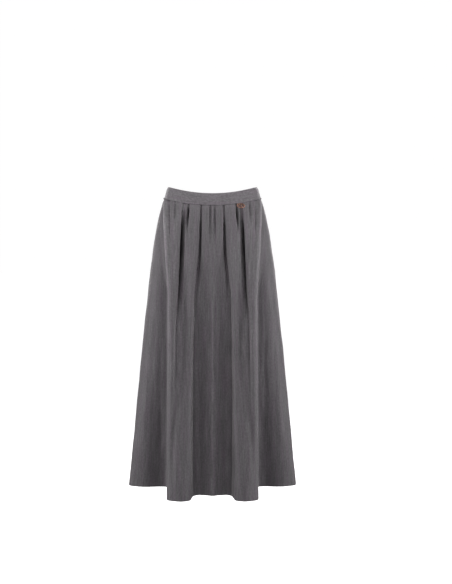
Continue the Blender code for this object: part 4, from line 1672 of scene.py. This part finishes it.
@dataclass
class ZipFastening:
    """The concealed zip at the centre back: slider, hinged tab, tapes and coil."""

    slope: float = math.atan2(WaistbandForm.flare_front, WaistbandForm.height)
    slider_size: tuple[float, float, float] = (0.0064, 0.0014, 0.0092)
    # How wide the slider's lower end is, as a share of its top.
    slider_taper: float = 0.62
    slider_round: float = 0.00045
    standoff: float = 0.0015
    bail_radius: float = 0.00245
    bail_wire: float = 0.0011
    bail_width: float = 0.0020
    tab_lean: float = math.radians(5)
    tab_length: float = 0.0190
    tab_top: float = 0.0052
    tab_end: float = 0.0070
    tab_thickness: float = 0.0010
    tab_bar: float = 0.0006
    tab_round: float = 0.00018
    window_width: float = 0.0029
    window_end: float = 0.0035
    tape_half_width: float = 0.011
    tape_thickness: float = 0.0004
    tape_columns: int = 17
    # How far the tape lies inside the band and the cloth, and how much farther at the seam, which dies away
    # over this fall.
    behind_band: float = 0.0030
    behind_cloth: float = 0.0018
    behind_seam: float = 0.0012
    seam_fall: float = 0.01
    # The rows of the tape: between which drops of the band, and between which falls of the cloth.
    band_drops: tuple[float, float] = (0.06, 0.98)
    band_rows: int = 14
    cloth_falls: tuple[float, float] = (0.006, 0.19)
    cloth_rows: int = 60
    # The folds take up more cloth farther down, so the tape's edges lie at farther places of it.
    spread: float = 0.9
    # The tape's length: behind the band, and for a fall of 1.
    band_length: float = 0.038
    fall_length: float = 0.86
    link_pitch: float = 0.0016
    link_radius: float = 0.00036
    link_length: float = 0.0030
    # Every other link of the coil lies this far to the other side and slants the other way.
    link_side: float = 0.0007
    link_slant: float = 0.18
    behind_tape: float = 0.0009
    slider_sharp_degrees: float = 50.0
    tab_sharp_degrees: float = 40.0

    def pivot(self) -> Vector:
        """The hinge's point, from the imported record."""
        return Vector(frame["joints"][0]["pos_m"])

    def build_slider(self) -> bpy.types.Object:
        """Makes the slider: a drop-shaped plate with a wire arch for the tab.

        Returns:
            The finished slider.
        """
        plate = self.slider_size[1]
        body = add_primitive(bpy.ops.mesh.primitive_cube_add, size=1.0)
        body.scale = self.slider_size
        settle(body)
        for vert in body.data.vertices:
            if vert.co.z < 0.0:
                vert.co.x *= self.slider_taper
        apply_modifier(body, "BEVEL", width=self.slider_round, segments=3, limit_method="NONE")
        bail = add_primitive(
            bpy.ops.mesh.primitive_torus_add,
            major_radius=self.bail_radius,
            minor_radius=0.5 * self.bail_wire,
            major_segments=40,
            minor_segments=12,
            location=(0.0, 0.5 * plate + self.standoff, 0.0),
            rotation=(0.0, math.radians(90), 0.0),
        )
        settle(bail)
        for vert in bail.data.vertices:
            vert.co.x *= self.bail_width / self.bail_wire
            # The ring's back is pressed flat inside the plate.
            vert.co.y = max(vert.co.y, -0.25 * plate)
        slider = join("zip_slider_body", [body, bail])
        outwards = Matrix.Rotation(self.slope, 3, "X") @ Vector((0.0, 1.0, 0.0))
        slider.rotation_euler = (self.slope, 0.0, 0.0)
        slider.location = self.pivot() - outwards * (self.standoff + 0.5 * plate)
        settle(slider)
        smooth_but_sharp(slider, self.slider_sharp_degrees)
        return slider

    def build_tab(self) -> bpy.types.Object:
        """Makes the pull tab: a flat plate, widening to a round end, with a window for the arch.

        Returns:
            The finished tab, hanging from its hinge.
        """
        tab = add_primitive(bpy.ops.mesh.primitive_cube_add, size=1.0)
        tab.scale = (self.tab_end, self.tab_thickness, self.tab_length + self.tab_bar)
        tab.location = (0.0, 0.0, 0.5 * (self.tab_bar - self.tab_length))
        settle(tab)
        for vert in tab.data.vertices:
            if vert.co.z > 0.0:
                vert.co.x *= self.tab_top / self.tab_end
        # The two lower edges through the plate are rounded by nearly half of its width each.
        edit_whole(tab, bpy.ops.mesh.select_all, action="DESELECT")
        for edge in tab.data.edges:
            ends = [tab.data.vertices[number].co for number in edge.vertices]
            low = all(end.z < -0.5 * self.tab_length for end in ends)
            through = abs(ends[0].y - ends[1].y) > 0.5 * self.tab_thickness
            edge.select = low and through
        bpy.ops.object.mode_set(mode="EDIT")
        bpy.ops.mesh.bevel(offset=0.49 * self.tab_end, segments=9, affect="EDGES")
        bpy.ops.object.mode_set(mode="OBJECT")
        window = add_primitive(bpy.ops.mesh.primitive_cube_add, size=1.0)
        window.scale = (self.window_width, 4.0 * self.tab_thickness, self.window_end - self.tab_bar)
        window.location = (0.0, 0.0, -0.5 * (self.tab_bar + self.window_end))
        settle(window)
        apply_modifier(tab, "BOOLEAN", operation="DIFFERENCE", object=window, solver="EXACT")
        bpy.data.objects.remove(window, do_unlink=True)
        apply_modifier(tab, "BEVEL", width=self.tab_round, segments=3, limit_method="ANGLE")
        tab.rotation_euler = (self.slope - self.tab_lean, 0.0, 0.0)
        tab.location = self.pivot()
        settle(tab)
        tab.name = "zip_tab_plate"
        smooth_but_sharp(tab, self.tab_sharp_degrees)
        return tab

    def inner_line(
        self, form: SkirtForm, across: np.ndarray, clearance: float
    ) -> tuple[np.ndarray, np.ndarray]:
        """Rows of points just inside the centre back, from the band's top to the zip's end.

        Args:
            form: the outline of the skirt.
            across: metres to the side of the centre back.
            clearance: how far inside the tape the rows lie.

        Returns:
            The points, and how far down each row is.
        """
        band = form.band
        rows, down = [], []
        angle = math.pi - across / band.half_width
        for drop in np.linspace(*self.band_drops, self.band_rows):
            share = np.full(len(across), drop)
            inward = self.behind_band + clearance
            rows.append(band.outline(angle, share) - band.outwards(angle, share) * inward)
            down.append(drop * band.height)
        for fall in np.linspace(*self.cloth_falls, self.cloth_rows):
            places = form.back - across * (1.0 + self.spread * fall)
            points, normals = form.ring(float(fall), places)
            inward = self.behind_cloth + clearance + self.behind_seam * math.exp(-fall / self.seam_fall)
            rows.append(points - normals * inward)
            down.append(band.height + fall * form.side_length)
        return np.array(rows), np.array(down)

    def build_tapes(self, form: SkirtForm) -> bpy.types.Object:
        """Makes the woven tapes behind the opening, as one sheet.

        Args:
            form: the outline of the skirt.

        Returns:
            The finished sheet.
        """
        across = np.linspace(-self.tape_half_width, self.tape_half_width, self.tape_columns)
        points, down = self.inner_line(form, across, 0.0)
        flat = np.stack(np.broadcast_arrays(across[None, :], -down[:, None]), axis=2)
        tapes = sheet_grid("zip_tape", points, flat)
        apply_modifier(tapes, "SOLIDIFY", thickness=self.tape_thickness, offset=0.0, use_even_offset=False)
        tapes.data.shade_smooth()
        return tapes

    def build_coil(self, form: SkirtForm) -> bpy.types.Object:
        """Makes one link of the coil, then copies it down both tapes.

        Args:
            form: the outline of the skirt.

        Returns:
            All the links as one object.
        """
        sizes = {"vertices": 8, "radius": self.link_radius, "depth": self.link_length}
        link, faces = take_mesh(add_primitive(bpy.ops.mesh.primitive_cylinder_add, **sizes))
        line, _ = self.inner_line(form, 0.5 * self.link_radius * np.array([-1.0, 1.0]), self.behind_tape)
        middle = line.mean(axis=1)
        along = lengths_along(middle)
        count = int(along[-1] / self.link_pitch)
        at = (np.arange(count) + 0.5) * along[-1] / count
        centres = np.stack([np.interp(at, along, middle[:, axis]) for axis in range(3)], axis=1)
        copies = []
        for number, centre in enumerate(centres):
            way = 1.0 if number % 2 else -1.0
            slanted = link[:, 1] + link[:, 2] * self.link_slant * way
            turned = np.column_stack([link[:, 2], link[:, 0], slanted])
            copies.append(centre + turned + [self.link_side * way, 0.0, 0.0])
        return repeated("zip_coil", faces, copies)

    def dress(
        self,
        pieces: Sequence[bpy.types.Object],
        metal: bpy.types.Material,
        tape_cloth: bpy.types.Material,
    ) -> None:
        """Gives each piece of the zip its finish and its body.

        Args:
            pieces: the slider, the tab, the tapes and the coil.
            metal: the slider's and the tab's plate.
            tape_cloth: what the tapes and the coil are made of.
        """
        slider, tab, tapes, coil = pieces
        for piece in (slider, tab):
            give_material(piece, metal)
        for piece in (tapes, coil):
            give_material(piece, tape_cloth)
        for piece in (slider, tapes, coil):
            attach(piece, "skirt")
        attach(tab, "zip_pull")
        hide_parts("zip_slider")
        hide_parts("zip_pull_tab")


# ---- The studio ----


class Softbox(NamedTuple):
    """One large soft lamp: where it stands, what it faces, its width and height, and its power in watts."""

    name: str
    place: tuple[float, float, float]
    target: tuple[float, float, float]
    width: float
    height: float
    power: float


@dataclass
class Studio:
    """A white room: a pale floor, a surround, soft lamps on all sides, and the camera."""

    # The camera stands at the place where the waistband's edges and the hem look as bent as in the picture.
    camera_place: tuple[float, float, float] = (0.0, -3.5, -0.158)
    # The picture's size, the row level with the camera and the column of the skirt's middle, in pixels.
    image_width: float = 452.0
    image_height: float = 584.0
    horizon_row: float = 240.0
    axis_column: float = 212.55
    metres_per_pixel: float = 0.00299
    # How much of the framing is done by shifting the lens, and the rest by tilting the camera.
    shift_share: float = 0.5
    sensor: float = 36.0
    clip: tuple[float, float] = (0.05, 200.0)
    floor_height: float = -1.10
    floor_radius: float = 30.0
    surround_radius: float = 40.0
    # Light from the room, by the height that it comes from: low and high heights, and its strength at each.
    light_above: tuple[float, float, float, float] = (-0.6, 0.8, 0.080, 0.115)
    light_below: tuple[float, float, float, float] = (-1.0, -0.4, 0.20, 0.0)
    lamps: tuple[Softbox, ...] = (
        Softbox("left_softbox", (-1.02, -1.40, 1.15), (0.0, 0.0, 0.05), 0.8, 1.0, 8.2),
        Softbox("right_softbox", (1.02, -1.40, 1.15), (0.0, 0.0, 0.05), 0.8, 1.0, 8.2),
        Softbox("left_strip", (-2.22, -0.32, -0.30), (0.0, 0.0, -0.45), 0.4, 1.4, 20.0),
        Softbox("right_strip", (2.22, -0.32, -0.30), (0.0, 0.0, -0.45), 0.4, 1.4, 20.0),
        Softbox("front_softbox", (0.0, -1.6, 1.15), (0.0, 0.0, -0.1), 1.2, 0.7, 12.0),
        Softbox("back_left_softbox", (-1.2, 2.2, 0.75), (0.0, 0.0, -0.15), 1.2, 1.4, 26.0),
        Softbox("back_right_softbox", (1.2, 2.2, 0.75), (0.0, 0.0, -0.15), 1.2, 1.4, 26.0),
    )

    def build_camera(self) -> None:
        """Stands the camera level with the hips and turns it to the photograph's framing."""
        pixel_angle = self.metres_per_pixel / -self.camera_place[1]
        below = 0.5 * self.image_height - self.horizon_row
        pitch = math.atan((1.0 - self.shift_share) * below * pixel_angle)
        pan = math.atan((0.5 * self.image_width - self.axis_column) * pixel_angle)
        camera = bpy.data.objects.new("camera", bpy.data.cameras.new("camera"))
        camera.data.sensor_width = self.sensor
        camera.data.lens = self.sensor / (self.image_height * pixel_angle)
        camera.data.shift_y = -self.shift_share * below / self.image_height
        camera.location = self.camera_place
        camera.rotation_euler = (math.radians(90) - pitch, 0.0, -pan)
        camera.data.clip_start, camera.data.clip_end = self.clip
        bpy.context.scene.collection.objects.link(camera)
        bpy.context.scene.camera = camera

    def build_lamps(self) -> None:
        """Hangs the softboxes."""
        for lamp in self.lamps:
            light = bpy.data.lights.new(lamp.name, "AREA")
            light.shape = "RECTANGLE"
            light.size, light.size_y = lamp.width, lamp.height
            light.energy = lamp.power
            holder = bpy.data.objects.new(lamp.name, light)
            holder.location = lamp.place
            facing = Vector(lamp.target) - Vector(lamp.place)
            holder.rotation_euler = facing.to_track_quat("-Z", "Y").to_euler()
            bpy.context.scene.collection.objects.link(holder)

    def build_floor(self) -> None:
        """Lays the pale vinyl floor, which glows evenly and reaches out of sight."""
        floor = add_primitive(
            bpy.ops.mesh.primitive_circle_add,
            vertices=96,
            radius=self.floor_radius,
            fill_type="NGON",
            location=(0.0, 0.0, self.floor_height),
        )
        settle(floor)
        floor.name = "studio_floor"
        made, shader = new_material("white_vinyl_floor")
        tree = made.node_tree
        place = add_node(tree, "ShaderNodeTexCoord").outputs["Object"]
        away = add_node(tree, "ShaderNodeVectorMath", {0: place}, operation="LENGTH").outputs["Value"]
        inputs = {"Value": away, "From Min": 1.0, "From Max": 7.0, "To Min": 0.86, "To Max": 1.0}
        glow = add_node(tree, "ShaderNodeMapRange", inputs).outputs[0]
        feed(shader, {"Base Color": linear("f4f4f4"), "Roughness": 0.9})
        feed(shader, {"Emission Color": linear("ffffff"), "Emission Strength": glow})
        give_material(floor, made)
        floor.visible_diffuse = False
        floor.visible_glossy = False

    def build_surround(self) -> None:
        """Hangs the white surround that only the camera sees, so the room's light stays with the world."""
        surround = add_primitive(
            bpy.ops.mesh.primitive_uv_sphere_add, segments=32, ring_count=16, radius=self.surround_radius
        )
        surround.name = "studio_surround"
        edit_whole(surround, bpy.ops.mesh.flip_normals)
        made, shader = new_material("white_paper_surround")
        feed(shader, {"Base Color": linear("000000")})
        feed(shader, {"Emission Color": linear("ffffff"), "Emission Strength": 1.0})
        give_material(surround, made)
        surround.visible_diffuse = False
        surround.visible_glossy = False
        surround.visible_shadow = False

    def build_world(self) -> None:
        """Fills the room with white light, more of it from above, and from the floor below."""
        world = bpy.data.worlds.new("white_room")
        bpy.context.scene.world = world
        world.use_nodes = True
        tree = world.node_tree
        way = add_node(tree, "ShaderNodeTexCoord").outputs["Generated"]
        height = add_node(tree, "ShaderNodeSeparateXYZ", {0: way}).outputs["Z"]
        parts = []
        for low, high, at_low, at_high in (self.light_above, self.light_below):
            inputs = {"Value": height, "From Min": low, "From Max": high}
            inputs.update({"To Min": at_low, "To Max": at_high})
            parts.append(add_node(tree, "ShaderNodeMapRange", inputs).outputs[0])
        strength = add_node(tree, "ShaderNodeMath", dict(enumerate(parts)), operation="ADD").outputs[0]
        feed(tree.nodes["Background"], {"Color": linear("fdfdff"), "Strength": strength})

    def build(self) -> None:
        """Sets up the whole room."""
        bpy.context.scene.view_settings.view_transform = "Standard"
        self.build_camera()
        self.build_lamps()
        self.build_floor()
        self.build_surround()
        self.build_world()


# ---- The whole skirt ----


def corners(box: Iterable[Vector]) -> list[list[float]]:
    """A box as plain lists of numbers."""
    return [list(corner) for corner in box]


def report(piece: bpy.types.Object) -> None:
    """Logs a finished piece and how many triangles it has."""
    piece.data.calc_loop_triangles()
    LOG.info("%s: %d triangles", piece.name, len(piece.data.loop_triangles))


def main() -> None:
    """Builds and dresses the skirt, piece by piece.
    """
    logging.basicConfig(level=logging.INFO, format="%(name)s: %(message)s")
    suiting = MelangeSuiting("melange_suiting").material()
    # The band's copy of the suiting is made lighter: a painted highlight for the light that the band
    # catches.
    band_finish = MelangeSuiting("melange_suiting_band", grain=Grain.ALONG, lighten=0.12, mottle=0.26)
    band_suiting = band_finish.material()
    gold = PlatedMetal("rose_gold_plate", plate="dba58c", worn="b8806a", roughness=0.28).material()
    nickel = PlatedMetal("dark_nickel_plate", plate="636266", worn="9b9a9f", roughness=0.28).material()
    thread = SpunPolyester("sewing_thread", colour="85818a", shade="66636a").material()
    tape_cloth = SpunPolyester("zip_tape_polyester", colour="5b585f", shade="3f3d43").material()

    band = WaistbandForm()
    form = SkirtForm(band)
    # Each panel has its flat size and area, and each strip its flat size and how many columns it has.
    back_panel = ((0.44, 0.89), 0.33)
    panels = (
        ClothPanel("front_panel_cloth", "front_panel", -form.side, form.side, (1.02, 0.89), 0.70),
        ClothPanel("back_panel_right_cloth", "back_panel_right", form.side, form.back, *back_panel),
        ClothPanel("back_panel_left_cloth", "back_panel_left", -form.back, -form.side, *back_panel),
    )
    for panel in panels:
        cloth = panel.build(form)
        panel.dress(cloth, suiting)
        report(cloth)

    # Angles round the waistband: its side seams, half of a seam's gap, and the back closure's two ends.
    side = 0.5 * math.pi
    gap = 0.5 * SEAM_GAP / band.half_depth
    back = math.pi - 0.5 * CLOSURE_GAP / band.half_width
    front_band = ((0.40, 0.075), 221)
    back_band = ((0.19, 0.075), 111)
    strips = (
        WaistbandPiece("waistband_front_cloth", "waistband_front", gap - side, side - gap, *front_band),
        WaistbandPiece("waistband_back_right_cloth", "waistband_back_right", side + gap, back, *back_band),
        WaistbandPiece("waistband_back_left_cloth", "waistband_back_left", -back, -side - gap, *back_band),
    )
    for strip in strips:
        cloth = strip.build(band)
        strip.dress(cloth, band_suiting)
        report(cloth)

    stitching = EdgeStitching()
    row = stitching.build(band)
    stitching.dress(row, thread)
    report(row)

    ornament = Ornament()
    lattice = ornament.build()
    ornament.dress(lattice, gold)
    report(lattice)

    fastening = ZipFastening()
    pieces = (
        fastening.build_slider(),
        fastening.build_tab(),
        fastening.build_tapes(form),
        fastening.build_coil(form),
    )
    fastening.dress(pieces, nickel, tape_cloth)
    for piece in pieces:
        report(piece)

    Studio().build()


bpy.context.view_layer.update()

if __name__ == "__main__":
    main()
